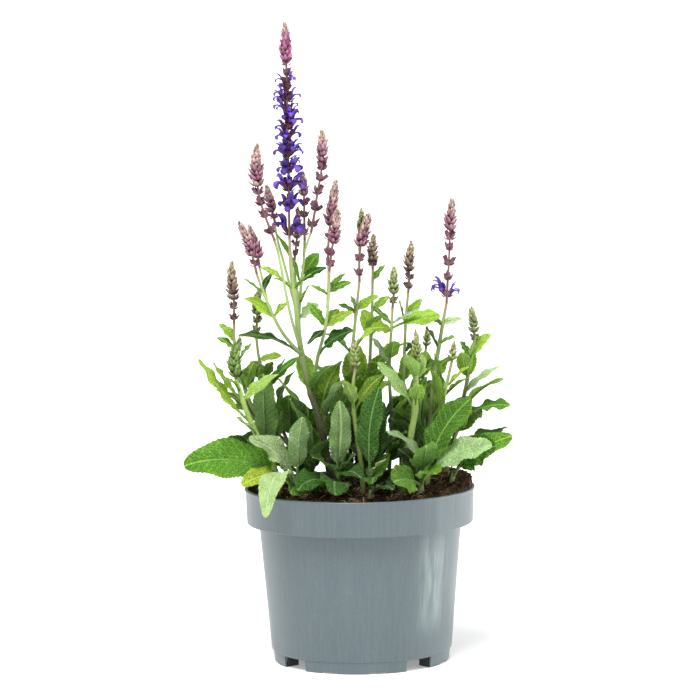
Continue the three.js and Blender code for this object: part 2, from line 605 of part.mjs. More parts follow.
function turned(leaf, aside, up, size) {
  const chord = leaf.tip.clone().sub(leaf.root);
  const flat = Math.hypot(chord.x, chord.y);
  const length = chord.length() * size;
  const bearing = Math.atan2(chord.y, chord.x) + rad(aside);
  const rise = Math.min(rad(84), Math.atan2(chord.z, flat) + rad(up));
  const tip = leaf.root.clone().add(v3(
    length * Math.cos(rise) * Math.cos(bearing),
    length * Math.cos(rise) * Math.sin(bearing),
    length * Math.sin(rise),
  ));
  return { ...leaf, tip, width: leaf.width * size };
}

const leaves = [];

function grow(leaf) {
  const owner = ownerOf(leaf.stem);
  for (const [aside, up, size] of TURNS) {
    const tried = turned(leaf, aside, up, size);
    const points = leafPoints(tried);
    if (points.every(([point, t]) => isFree(point, owner, t < STALK_REACH))) {
      leaves.push(tried);
      points.forEach(([point]) => claim(point, LEAF_ROOM, owner + LEAF_STEP * leaves.length));
      return;
    }
  }
}

function leafOn(stem, height, tip, width, lean, arch, broad) {
  const curve = curves[stem];
  const root = curve.getPoint(shareAt(curve, height));
  return { stem, root, tip, width, lean, arch, broad };
}

function growAll() {
  for (const [list, broad] of [[BROAD, true], [NARROW, false]]) {
    for (const [stem, height, tip, width, lean, arch] of list) {
      grow(leafOn(stem, height, v3(...tip), width, lean, arch, broad));
    }
  }
  for (const [stem, first, step, count, length, width, low, high] of SPREAD) {
    for (let i = 0; i < count; i += 1) {
      const bearing = rad(first + step * i + 16 * (draw() - 0.5));
      const rise = rad(low + ((high - low) * i) / (count - 1));
      const long = length * (0.9 + 0.2 * draw());
      const height = STEMS[stem][3].at(-1)[2] - CROWN + i;
      const leaf = leafOn(stem, height, v3(0, 0, 0), width, 24 * (draw() - 0.5), 0.13, true);
      leaf.tip.set(
        leaf.root.x + long * Math.cos(rise) * Math.cos(bearing),
        leaf.root.y + long * Math.cos(rise) * Math.sin(bearing),
        leaf.root.z + long * Math.sin(rise),
      );
      grow(leaf);
    }
  }
  for (const [stem, first, low, high, step, bottom, top] of PAIRED) {
    const count = Math.floor((high - low) / step);
    for (let i = 0; i <= count; i += 1) {
      for (const half of [0, 180]) {
        const share = count ? i / count : 0;
        const long = bottom[0] + (top[0] - bottom[0]) * share;
        const width = bottom[1] + (top[1] - bottom[1]) * share;
        const bearing = rad(first + 90 * i + half + 20 * (draw() - 0.5));
        const rise = rad(34 + 16 * draw());
        const lean = 30 * (draw() - 0.3);
        const leaf = leafOn(stem, low + step * i, v3(0, 0, 0), width, lean, 0.1, share < 0.4);
        leaf.tip.set(
          leaf.root.x + long * Math.cos(rise) * Math.cos(bearing),
          leaf.root.y + long * Math.cos(rise) * Math.sin(bearing),
          leaf.root.z + long * Math.sin(rise),
        );
        grow(leaf);
      }
    }
  }
}

// A stalk, then a blade with scalloped, slightly waved edges, closer stations at its ends.
function leafShape(leaf) {
  const stalk = stalkShare(leaf);
  const count = leaf.width > LARGE ? 5 : leaf.width > MEDIUM ? 4 : 3;
  const rings = [];
  for (let i = 0; i < count; i += 1) {
    const s = (1 - Math.cos((Math.PI * i) / count)) / 2;
    const swing = i % 2 ? 1 : -1;
    const half = Math.max(STALK_HALF, halfWidth(leaf, s));
    const reach = half * (i ? 1 + SCALLOP * swing : 1);
    const { place, width, normal } = midrib(leaf, stalk + (1 - stalk) * s);
    rings.push([[-1, 1], [1, 1], [1, -1], [-1, -1]].map(([side, face]) => place.clone()
      .addScaledVector(width, side * reach)
      .addScaledVector(normal, (face * BLADE) / 2 + (i ? side * WAVE * half * swing : 0))));
  }
  if (leaf.broad) {
    const back = leaf.root.clone().sub(midrib(leaf, stalk).place);
    rings.unshift(rings[0].map((corner) => corner.clone().add(back)));
  } else {
    rings.unshift([leaf.root]);
  }
  rings.push([leaf.tip]);
  return loft(rings, true);
}

// ---- Flower spikes ------------------------------------------------------------------------
// A spike carries loose whorls of calyces low down and a crowded head of bracts above. Each:
// radius of the head and of the loose whorls, the height where the head starts, the heights of
// the loose whorls, the heights of whorls in open flower, and the points of its axis.

const SPIKES = {
  spike_main: [5.2, 6.2, 999, [], [318, 327, 336, 345, 354, 363, 372, 381, 390, 399, 408, 417],
    [[-49, 0, 313.4], [-49, 0, 350], [-49, 0, 390], [-49, 0, 427]]],
  spike_main_tip: [5.4, 5.4, 430, [], [], [[-49, 0, 427.4], [-49.5, 0, 446], [-50, 0, 472]]],
  spike_left_tall: [5.0, 5.6, 353, [318, 330, 339, 347], [], [[-60, -12, 313.4],
    [-64, -13, 324], [-68, -14, 336], [-71, -15, 349], [-72, -16, 368], [-71, -16, 384]]],
  spike_left_behind: [4.0, 4.6, 332, [327], [], [[-60, 13, 325.4], [-62, 14, 334],
    [-66, 15, 353]]],
  spike_right_pale: [3.8, 5.0, 344, [315, 328, 337], [], [[-38, 10, 311.4], [-38, 10, 329],
    [-38, 9, 348], [-39, 8, 363]]],
  spike_right_tall: [4.6, 6.0, 369, [321, 333, 345, 355, 363], [], [[-33, 8, 317.4],
    [-30, 6, 333], [-28, 5, 346], [-25, 4, 361], [-24, 4, 377], [-24, 4, 393]]],
  spike_behind_small: [3.6, 4.2, 312, [299, 306], [], [[-46, 17, 294.4], [-44, 18, 310],
    [-43, 18, 324], [-43, 18, 336]]],
  spike_low_left: [4.2, 4.6, 303, [295], [], [[-73, -20, 289.4], [-76, -22, 303],
    [-80, -24, 315], [-86, -25, 329]]],
  spike_low_left_side: [4.2, 4.4, 300, [], [], [[-71, -7, 292.4], [-73, -7, 305],
    [-76, -6, 315], [-79, -6, 325]]],
  spike_low_right: [4.4, 4.8, 310, [293, 301], [], [[-20, -8, 289.4], [-18, -9, 305],
    [-15, -10, 319], [-13, -10, 336]]],
  spike_low_right_tall: [4.6, 4.8, 322, [301, 312], [], [[-21, 3, 297.4], [-20, 4, 315],
    [-17, 5, 337], [-14, 5, 357]]],
  spike_centre: [4.7, 5.0, 306, [284, 295], [], [[2, 12, 280.4], [2, 12, 294], [4, 12, 310],
    [8, 12, 323], [10, 12, 331]]],
  spike_centre_side: [3.5, 3.8, 317, [], [], [[3, 21, 315.4], [4, 21, 324], [4, 21, 334]]],
  spike_back: [4.0, 4.4, 293, [289.5], [], [[12, 32, 287.4], [12, 32, 300], [13, 32, 314]]],
  spike_right_inner: [4.2, 4.8, 286, [273, 280], [], [[38, 22, 270.4], [39, 22, 281],
    [39, 22, 293], [41, 22, 309]]],
  spike_middle: [4.0, 4.4, 271, [264], [], [[26, 6, 260.4], [27, 6, 270], [27, 6, 281],
    [28, 6, 292]]],
  spike_far_tall: [4.5, 6.2, 317, [280, 291, 302, 310], [267.5], [[66, 10, 263.4],
    [67, 10, 280], [68, 10, 293], [69, 10, 313], [71, 10, 342]]],
  spike_far_right: [3.9, 4.6, 241, [235], [], [[86, 12, 231.4], [86, 12, 243], [84, 12, 261]]],
  spike_left: [4.5, 5.0, 268, [253, 261], [], [[-91, 10, 250.4], [-91, 10, 267],
    [-92, 10, 282], [-92, 10, 297]]],
  spike_left_back: [4.2, 5.0, 256, [242, 250], [], [[-75, 16, 239.4], [-74, 15, 253],
    [-74, 15, 265], [-71, 15, 276]]],
  bud_left_low: [5.0, 5.0, 215, [], [], [[-89, -28, 213.4], [-90, -28, 227], [-88, -28, 236],
    [-85, -28, 244]]],
  bud_front_young: [3.8, 3.8, 221, [], [], [[-2, -28, 220.4], [-2, -28, 232], [-2, -28, 241]]],
  bud_right_young: [3.6, 3.6, 223, [], [], [[43, -26, 222.4], [43, -26, 236], [42, -26, 248]]],
  bud_back_leafy: [3.2, 3.2, 229, [], [], [[51, 34, 228.4], [52, 34, 236], [52, 34, 244]]],
  bud_right_leafy: [3.2, 3.2, 223, [], [], [[69, -8, 222.4], [70, -8, 230], [71, -8, 237]]],
};

const AXIS_RADIUS = 1.1; // the spike's own stem between its whorls
const ROW = 3.4; // between the rows of bracts in a head
const HEAD_SWELL = 1.1; // bracts stand a little proud of the head's radius
const HEAD_TAPER = 0.7; // a head stays wide and narrows only near its tip
const HEAD_INNER = 0.6; // between the bracts, as a share of their reach
const SIDES = 6;
const FLOWERING_SIDES = 12;
const FLOWER_REACH = 10.5; // to the hanging lips
const HOOD_REACH = 8.2; // to the hoods above them
const FLOWER_CORE = 3.2; // the crowded calyces between the flowers
const LONE_CORE = 1.6; // and in a whorl that flowers alone
const LIP_LEVEL = [4.0, 0.4]; // above the whorl's foot, and how far the outer points rise
const HOOD_LEVEL = [5.6, 3.2];
const FLOWER_TOP = 7.2;
const CALYX_LEVEL = 3.2;
const CALYX_TOP = 5.2;
const CALYX_INNER = 1.65;

// One row of calyces, bracts or flowers: every other group of points stands out, and each row
// is turned by one group against the one below.
function lobes(outer, inner, row, sides) {
  const group = sides / SIDES;
  return Array.from({ length: sides }, (_, k) => (
    (Math.floor(k / group) + row) % 2 ? inner : outer
  ));
}

function spikeShape([head, loose, headFrom, whorls, flowering, points]) {
  const sides = flowering.length > 1 ? FLOWERING_SIDES : SIDES;
  const curve = curveOf(points);
  const [bottom, top] = [points[0][2], points.at(-1)[2]];
  const rings = [];
  let row = 0;
  let last = bottom;
  const put = (height, outer, inner = outer, rise = 0) => {
    const spots = lobes([outer, rise], [inner, 0], row, sides);
    rings.push(ringAt(curve, shareAt(curve, height), spots));
    last = height;
  };
  put(bottom, AXIS_RADIUS);
  for (const height of [...whorls, ...flowering].sort((a, b) => a - b)) {
    if (height - last > ROW) {
      put(height - 1, AXIS_RADIUS);
    }
    if (flowering.includes(height)) {
      const core = flowering.length > 1 ? FLOWER_CORE : LONE_CORE;
      put(height + LIP_LEVEL[0], FLOWER_REACH, core, LIP_LEVEL[1]);
      put(height + HOOD_LEVEL[0], HOOD_REACH, core, HOOD_LEVEL[1]);
      put(height + FLOWER_TOP, core * 0.8);
    } else {
      put(height + CALYX_LEVEL, loose, CALYX_INNER);
      put(height + CALYX_TOP, AXIS_RADIUS);
    }
    row += 1;
  }
  for (let height = Math.max(headFrom, last + ROW / 2); height < top - ROW / 2; height += ROW) {
    const share = Math.max(0, (height - headFrom) / (top - headFrom));
    const radius = HEAD_SWELL * head * (1 - HEAD_TAPER * share ** 3);
    put(height, radius, radius * HEAD_INNER);
    row += 1;
  }
  rings.push([curve.getPoint(1)]);
  return solid(loft(rings));
}

// ---- The plant in its pot -----------------------------------------------------------------

for (const [name, [head, loose, , , flowering, points]] of Object.entries(SPIKES)) {
  const owner = owners.push(name) - 1;
  const curve = curveOf(points);
  for (const t of shares(30)) {
    const reach = flowering.length > 1 ? FLOWER_REACH : Math.max(head, loose) * 0.75;
    claim(curve.getPoint(t), reach * Math.min(1, 0.4 + 4 * t) + BLADE, owner);
  }
}

growAll();

const parts = {};
parts.pot = pot();
parts.soil = soil();
for (const [name, [node, foot, top, points]] of Object.entries(STEMS)) {
  const curve = curves[name];
  const steps = Math.ceil((points.at(-1)[2] - points[0][2]) / STEM_STEP);
  const stem = solid(tube(curve, 0, 1, foot, top, steps));
  parts[node] = parts[node] ? parts[node].add(stem) : stem;
  if (points[0][2] < SOIL_LEVEL) {
    const above = foot + (top - foot) / steps;
    const hole = tube(curve, 0, 1 / steps, foot + HOLE_ROOM, above + HOLE_ROOM, 1);
    hole.translate(0, 0, -GAP);
    parts.soil = parts.soil.subtract(solid(hole));
  }
}
for (const leaf of leaves) {
  const node = STEMS[leaf.stem][0];
  parts[node] = parts[node].add(solid(leafShape(leaf)));
}
for (const [name, spike] of Object.entries(SPIKES)) {
  parts[name] = spikeShape(spike);
}
for (const [name, joined] of Object.entries(parts)) {
  // A scrap that a cut leaves loose is dropped.
  parts[name] = joined.decompose().sort((a, b) => b.volume() - a.volume())[0];
}

const FINISH = {
  pot: [0x7d8b94, 0.55],
  soil: [0x3b2a1e, 0.95],
  stem: [0x86a35c, 0.7],
  leaves: [0x3f7d2c, 0.65],
  spike: [0x8c5f7d, 0.7],
  bud: [0xa98f7a, 0.7],
  spike_main: [0x4a35a8, 0.6],
  spike_main_tip: [0xa85f95, 0.7],
};

const salvia = new THREE.Group();
for (const [name, manifold] of Object.entries(parts)) {
  const [color, roughness] = FINISH[name] ?? FINISH[name.split('_')[0]];
  const material = new THREE.MeshStandardMaterial({ color, roughness, metalness: 0 });
  const mesh = new THREE.Mesh(shape(manifold), material);
  mesh.name = name;
  salvia.add(mesh);
}

export default salvia;
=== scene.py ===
# %% [markdown]
# A perennial salvia in its grower's pot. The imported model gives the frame: each node of it is
# replaced below by a finer piece of the same form. Everything is in metres in the end, but the
# plant is grown in millimetres, the unit in which its sizes are easy to read.

# %% The frame, and the libraries
import json
import math

import bmesh
import bpy
import numpy as np
from mathutils import Matrix, Vector

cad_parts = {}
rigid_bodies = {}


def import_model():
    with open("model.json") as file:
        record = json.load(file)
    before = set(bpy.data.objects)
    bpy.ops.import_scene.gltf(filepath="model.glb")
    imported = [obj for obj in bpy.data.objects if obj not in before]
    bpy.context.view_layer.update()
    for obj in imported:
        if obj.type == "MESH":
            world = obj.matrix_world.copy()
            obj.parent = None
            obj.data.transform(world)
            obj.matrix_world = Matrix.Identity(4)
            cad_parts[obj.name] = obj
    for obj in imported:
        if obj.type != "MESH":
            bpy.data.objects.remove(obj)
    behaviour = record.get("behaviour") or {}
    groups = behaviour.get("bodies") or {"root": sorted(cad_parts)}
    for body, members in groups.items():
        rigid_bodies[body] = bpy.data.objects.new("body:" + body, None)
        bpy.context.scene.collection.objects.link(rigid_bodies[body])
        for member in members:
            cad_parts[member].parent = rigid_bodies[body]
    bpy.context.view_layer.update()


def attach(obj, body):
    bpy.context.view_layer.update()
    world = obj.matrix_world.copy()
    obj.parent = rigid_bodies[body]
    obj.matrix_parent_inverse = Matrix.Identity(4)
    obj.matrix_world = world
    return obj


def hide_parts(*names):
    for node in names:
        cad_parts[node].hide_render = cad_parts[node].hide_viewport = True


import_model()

MM = 0.001
SEED = 20240611
rng = np.random.default_rng(SEED)

# %% [markdown]
# The camera comes first, because every later choice of detail depends on what it sees. A long
# lens from almost three metres keeps the pot's rim a narrow ellipse, as a studio shot does.

# %% The camera
CAMERA_PLACE = (-0.0072, -2.69, 0.519)
CAMERA_TILT = 6.1  # degrees below the horizon
CAMERA_ROLL = 0.8
CAMERA_LENS, CAMERA_SENSOR = 190.2, 36
CAMERA_REACH = 200  # metres, past the far end of the floor

camera_data = bpy.data.cameras.new("camera")
camera_data.lens = CAMERA_LENS
camera_data.sensor_width = CAMERA_SENSOR
camera_data.clip_end = CAMERA_REACH
camera = bpy.data.objects.new("camera", camera_data)
camera.matrix_world = (
    Matrix.Translation(CAMERA_PLACE)
    @ Matrix.Rotation(math.radians(90 - CAMERA_TILT), 4, "X")
    @ Matrix.Rotation(math.radians(-CAMERA_ROLL), 4, "Z")
)
bpy.context.collection.objects.link(camera)
bpy.context.scene.camera = camera
print("camera:", CAMERA_LENS, "mm lens at", CAMERA_PLACE)

# %% [markdown]
# A few small helpers turn arrays into Blender objects. A mesh is written straight from arrays,
# which is far quicker than adding vertices one by one, and it can carry attributes that the
# materials read later, such as each leaf's own green.

# %% Helpers: meshes
FIELDS = {"FLOAT_COLOR": "color", "FLOAT_VECTOR": "vector"}  # what Blender calls each type's values
KINDS = {"tint": "FLOAT_COLOR", "face": "FLOAT", "phase": "FLOAT", "away": "FLOAT"}
ROOM = (-127.9, -91.9, 0), (115.1, 113.8, 471.9)  # no shell reaches past the solids


def smooth(mesh):
    mesh.polygons.foreach_set("use_smooth", [True] * len(mesh.polygons))


def make_mesh(name, points, faces, attributes=()):
    """A mesh from millimetre points. An attribute is (name, type, values), one for each point."""
    mesh = bpy.data.meshes.new(name)
    mesh.from_pydata((np.asarray(points) * MM).tolist(), [], faces)
    for label, kind, values in attributes:
        layer = mesh.attributes.new(label, kind, "POINT")
        number = np.int32 if kind == "INT" else np.float32
        layer.data.foreach_set(FIELDS.get(kind, "value"), np.asarray(values, dtype=number).ravel())
    smooth(mesh)
    mesh.update()
    return mesh


def add_object(name, data, material=None):
    piece = bpy.data.objects.new(name, data)
    bpy.context.collection.objects.link(piece)
    if material:
        data.materials.append(material)
    return piece


def hand_over(piece, nodes):
    """Ties a finished piece to the frame, where it rides, hides the nodes it stands for, and counts
    its triangles.
    """
    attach(piece, "root")
    if nodes:
        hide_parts(*nodes)
    piece.data.calc_loop_triangles()
    return len(piece.data.loop_triangles)


class Skin:
    """Collects closed shells into one piece, with the attributes of their points."""

    def __init__(self, *labels):
        self.points, self.faces, self.count = [], [], 0
        self.values = {label: [] for label in labels}

    def add(self, points, faces, **values):
        self.faces += [[corner + self.count for corner in face] for face in faces]
        short = np.maximum(ROOM[0] - points.min(0), 0)
        points = points + short - np.maximum(points.max(0) - ROOM[1], 0)
        self.points.append(points)
        self.count += len(points)
        for label, value in values.items():
            self.values[label].append(value)

    def piece(self, name, material):
        values = [(label, KINDS[label], np.concatenate(parts))
                  for label, parts in self.values.items()]
        mesh = make_mesh(name, np.concatenate(self.points), self.faces, values)
        return add_object(name, mesh, material)


def strip_faces(rows, columns, closed):
    """Quads between rows of points. Closed rows run round, with flat ends."""
    faces = []
    last = columns if closed else columns - 1
    for i in range(rows - 1):
        for k in range(last):
            a, b = i * columns + k, i * columns + (k + 1) % columns
            faces.append([a, b, b + columns, a + columns])
    if closed:
        faces.append(list(range(columns))[::-1])
        faces.append([(rows - 1) * columns + k for k in range(columns)])
    return faces


print("helpers for meshes: ready")

# %% [markdown]
# Curves: a stem is a smooth line through a few points. A Catmull-Rom spline passes through all
# of them, and its frame is built from the world's Y axis, which no stem runs along.

# %% Helpers: curves
HALVINGS = 40


def unit(v):
    return v / np.maximum(np.linalg.norm(v, axis=-1, keepdims=True), 1e-9)


def clamp(value):
    return np.clip(value, 0, 1)


class Path:
    """A line through points, from 0 at the first to 1 at the last."""

    def __init__(self, points):
        row = np.array(points, dtype=float)
        self.points = np.vstack([row[0] - row[1] + row[0], row, row[-1] - row[-2] + row[-1]])
        self.spans = len(row) - 1
        self.low, self.high = row[0][2], row[-1][2]

    def at(self, t):
        p = self.spans * np.asarray(t, dtype=float)
        i = np.clip(np.floor(p).astype(int), 0, self.spans - 1)
        w = (p - i)[..., None]
        x0, x1, x2, x3 = (self.points[i + k] for k in range(4))
        t0, t1 = 0.5 * (x2 - x0), 0.5 * (x3 - x1)
        c2 = -3 * x1 + 3 * x2 - 2 * t0 - t1
        c3 = 2 * x1 - 2 * x2 + t0 + t1
        return x1 + t0 * w + c2 * w * w + c3 * w * w * w

    def frame(self, t):
        """The directions along, to the side of and in front of the line."""
        t = np.asarray(t, dtype=float)
        along = unit(self.at(np.minimum(t + 0.01, 1)) - self.at(np.maximum(t - 0.01, 0)))
        side = unit(np.cross([0.0, 1.0, 0.0], along))
        return along, side, unit(np.cross(along, side))

    def share(self, height):
        """The place on the line that has a height."""
        low, high = 0.0, 1.0
        for _ in range(HALVINGS):
            middle = (low + high) / 2
            if self.at(middle)[2] < height:
                low = middle
            else:
                high = middle
        return low


def circle(sides):
    return 2 * np.pi * np.arange(sides) / sides


def swept(centre, side, front, angle, reach):
    """A ring of points round each centre, in the plane of two directions."""
    ring = side[:, None, :] * np.cos(angle)[None, :, None]
    ring = ring + front[:, None, :] * np.sin(angle)[None, :, None]
    return (centre[:, None, :] + ring * reach[:, :, None]).reshape(-1, 3)


def tube(path, shares, radii, sides, squareness):
    """Rings round a path. A square stem's corners stand out from its sides."""
    _, side, front = path.frame(shares)
    angle = circle(sides) + np.pi / 4
    swell = 1 + squareness * (np.cos(4 * (angle - np.pi / 4)) - 1) / 2
    reach = np.asarray(radii)[:, None] * swell[None, :]
    return swept(path.at(shares), side, front, angle, reach), strip_faces(len(shares), sides, True)


print("a curve's middle:", Path([(0, 0, 0), (1, 0, 10), (0, 0, 20)]).at(0.5))

# %% [markdown]
# Materials and scattering are both built from nodes. A short helper keeps them readable: it adds
# a node, sets its inputs, and links whatever is given as a socket.


# %% Helpers: nodes
class Nodes:
    """Adds nodes to a tree, which each kind of it makes for itself."""

    prefix = ""

    def node(self, kind, inputs=None, **settings):
        made = self.tree.nodes.new(self.prefix + kind)
        for label, value in settings.items():
            setattr(made, label, value)
        for label, value in (inputs or {}).items():
            self.give(made.inputs[label], value)
        return made

    def give(self, socket, value):
        if isinstance(value, bpy.types.NodeSocket):
            self.tree.links.new(value, socket)
        else:
            socket.default_value = value


class Finish(Nodes):
    """A material. Settings name the shader's sockets, with _ for a space."""

    prefix = "ShaderNode"

    def __init__(self, name, **settings):
        self.material = bpy.data.materials.new(name)
        self.material.use_nodes = True
        self.tree = self.material.node_tree
        self.shader = self.tree.nodes["Principled BSDF"]
        for label, value in settings.items():
            self.shader.inputs[label.replace("_", " ")].default_value = value

    def place(self, scale=(1, 1, 1)):
        where = self.node("TexCoord").outputs["Object"]
        return self.node("Mapping", {"Vector": where, "Scale": scale}).outputs["Vector"]

    def noise(self, scale, detail=4.0, rough=0.55, where=None):
        where = where or self.place()
        inputs = {"Vector": where, "Scale": scale, "Detail": detail, "Roughness": rough}
        return self.node("TexNoise", inputs).outputs["Fac"]

    def attribute(self, name, output="Color"):
        return self.node("Attribute", attribute_name=name).outputs[output]

    def math(self, operation, *values):
        return self.node("Math", dict(enumerate(values)), operation=operation).outputs[0]

    def times(self, first, second):
        return self.math("MULTIPLY", first, second)

    def span(self, value, low, high, to_low=0.0, to_high=1.0):
        """Carries low..high softly over to to_low..to_high."""
        inputs = dict(enumerate((value, low, high, to_low, to_high)))
        return self.node("MapRange", inputs, interpolation_type="SMOOTHSTEP").outputs["Result"]

    def mix(self, share, first, second, blend="MIX"):
        inputs = {"Factor": share, 6: first, 7: second}
        return self.node("Mix", inputs, data_type="RGBA", blend_type=blend).outputs[2]

    def finish(self, colour=None, rough=None, height=None, depth=0.001, strength=1.0):
        if colour is not None:
            self.give(self.shader.inputs["Base Color"], colour)
        if rough is not None:
            self.give(self.shader.inputs["Roughness"], rough)
        if height is not None:
            bump = self.node("Bump", {"Height": height, "Distance": depth, "Strength": strength})
            self.give(self.shader.inputs["Normal"], bump.outputs["Normal"])
        return self.material


print("helpers for nodes: ready")

# %% [markdown]
# The pot is moulded plastic, blue-grey and matte, with a fine vertical grain from the mould and
# soft streaks where the plastic flowed. The grain is noise squeezed along Z: it changes quickly
# round the wall and hardly at all from top to bottom. It drives both the colour and the relief.
# One ragged band at the right is a painted highlight, and the hollow under the floor is painted
# dark as shade.

# %% Finish: the pot's plastic
POT_DARK = (0.060, 0.088, 0.100, 1)
POT_LIGHT = (0.112, 0.150, 0.163, 1)
POT_WORN = (0.175, 0.215, 0.225, 1)
# the next colour is a painted highlight: a pale band on the pot's right side
POT_PAINTED_HIGHLIGHT = (0.30, 0.37, 0.36, 1)
# painted shade for the hollow under the pot's floor
POT_PAINTED_SHADE = (0.004, 0.006, 0.007, 1)
GRAIN_SHARE, STREAK_SHARE, SPECK_SHARE = 0.34, 0.20, 0.46
HIGHLIGHT_ANGLE, HIGHLIGHT_FULL, HIGHLIGHT_FADED = (math.radians(angle) for angle in (43, 3, 18))
HIGHLIGHT_HEIGHT = 0.06
HOLLOW_RADIUS, HOLLOW_HEIGHT = 0.0634, 0.0095


def painted_highlight_share(plastic, x, y, z):
    """How much of the painted highlight shows: a ragged band, strongest low on the wall."""
    away = plastic.math("ADD", plastic.math("ARCTAN2", y, x), HIGHLIGHT_ANGLE)
    band = plastic.span(plastic.math("ABSOLUTE", away), HIGHLIGHT_FULL, HIGHLIGHT_FADED, 1, 0)
    off = plastic.math("ABSOLUTE", plastic.math("SUBTRACT", z, HIGHLIGHT_HEIGHT))
    share = plastic.times(band, plastic.span(z, 0.012, 0.05))
    share = plastic.times(share, plastic.span(off, 0.02, 0.045, 1, 0.25))
    stripe = plastic.noise(1.0, 4, 0.6, plastic.place((160, 160, 9)))
    return plastic.times(share, plastic.span(stripe, 0.34, 0.62, 0.1, 0.62))


def pot_finish():
    plastic = Finish("pot_plastic", Specular_IOR_Level=0.6)
    grain = plastic.noise(1.0, 5, 0.65, plastic.place((520, 520, 11)))
    streak = plastic.noise(1.0, 3, 0.5, plastic.place((30, 30, 4)))
    speck = plastic.noise(1100, 3, 0.7)
    scuff = plastic.noise(60, 6, 0.65)
    share = plastic.math("MULTIPLY_ADD", grain, GRAIN_SHARE, plastic.times(streak, STREAK_SHARE))
    share = plastic.math("MULTIPLY_ADD", speck, SPECK_SHARE, share)
    colour = plastic.mix(plastic.span(share, 0.22, 0.80), POT_DARK, POT_LIGHT)
    colour = plastic.mix(plastic.span(scuff, 0.62, 0.80, 0.0, 0.3), colour, POT_WORN)
    x, y, z = plastic.node("SeparateXYZ", {"Vector": plastic.place()}).outputs
    # a painted highlight: a pale band on the right of the wall
    colour = plastic.mix(painted_highlight_share(plastic, x, y, z), colour, POT_PAINTED_HIGHLIGHT)
    # Painted shade: the hollow inside the foot, under the floor, is made nearly black.
    across = plastic.math("SQRT", plastic.math("ADD", plastic.times(x, x), plastic.times(y, y)))
    inside = plastic.times(plastic.math("LESS_THAN", across, HOLLOW_RADIUS),
                           plastic.math("LESS_THAN", z, HOLLOW_HEIGHT))
    colour = plastic.mix(plastic.times(inside, 0.85), colour, POT_PAINTED_SHADE)
    rough = plastic.span(streak, 0.3, 0.7, 0.28, 0.40)
    return plastic.finish(colour, rough, plastic.math("ADD", grain, speck), 0.0003, 0.3)


PLASTIC = pot_finish()
print("finish:", PLASTIC.name)

# %% [markdown]
# Potting soil is mostly dark peat with paler crumbs and orange-brown fibres. One finish serves
# the ground and its crumbs, and the fibres get their own.

# %% Finish: soil and fibres
PEAT_DARK = (0.014, 0.008, 0.004, 1)
PEAT_BROWN = (0.15, 0.085, 0.035, 1)
FIBRE_DARK = (0.20, 0.10, 0.04, 1)
FIBRE_LIGHT = (0.72, 0.53, 0.31, 1)


def peat_finish():
    peat = Finish("peat", Specular_IOR_Level=0.25)
    clump = peat.noise(180, 6, 0.7)
    fine = peat.noise(900, 4, 0.7)
    colour = peat.mix(peat.span(clump, 0.35, 0.75), PEAT_DARK, PEAT_BROWN)
    colour = peat.mix(peat.span(fine, 0.66, 0.74, 0, 0.5), colour, FIBRE_DARK)
    return peat.finish(colour, peat.span(fine, 0.3, 0.7, 0.8, 1.0), fine, 0.0012, 0.9)


def fibre_finish():
    fibre = Finish("soil_fibre", Roughness=0.8)
    return fibre.finish(fibre.mix(fibre.span(fibre.noise(120), 0.3, 0.7), FIBRE_DARK, FIBRE_LIGHT))


PEAT, FIBRE = peat_finish(), fibre_finish()
print("finishes:", PEAT.name, FIBRE.name)

# %% [markdown]
# A salvia leaf is crinkled: the net of veins is sunk into the upper face and stands out below.
# Each leaf carries its own green, with the clump's light and shade painted into it, so that old,
# shaded and young leaves differ, and three numbers for each point: which face it is on, how far it
# lies from the midrib, and its place between two side veins. The finish draws the veins from these,
# so that they follow the leaf, and adds
# the fine net between them with a Voronoi texture. A vein is a paler share of its leaf's own
# green, never paler than a limit, so that it shows on dark leaves and doesn't glare on light ones.

# %% Finish: leaves
UNDERSIDE = (0.24, 0.43, 0.12, 1)
VEIN = (0.50, 0.66, 0.26, 1)
PALEST = (0.52, 0.68, 0.34, 1)
SHADOW = (0, 0.01, 0, 1)
NET_CELLS = 560  # to the metre
NET, RIB = (0.12, 1.6), (0.27, 2.1)  # share of the vein colour, and how much lighter the green
VEIN_WANDER = 0.55  # how far a side vein strays, as a share of the space between two
VEIN_HALF = 0.085  # as a share of the space between side veins


def vein_colour(leaf, tint, share, times):
    lighter = leaf.mix(1, tint, (times,) * 3 + (1,), "MULTIPLY")
    return leaf.mix(1, leaf.mix(share, lighter, VEIN), PALEST, "DARKEN")


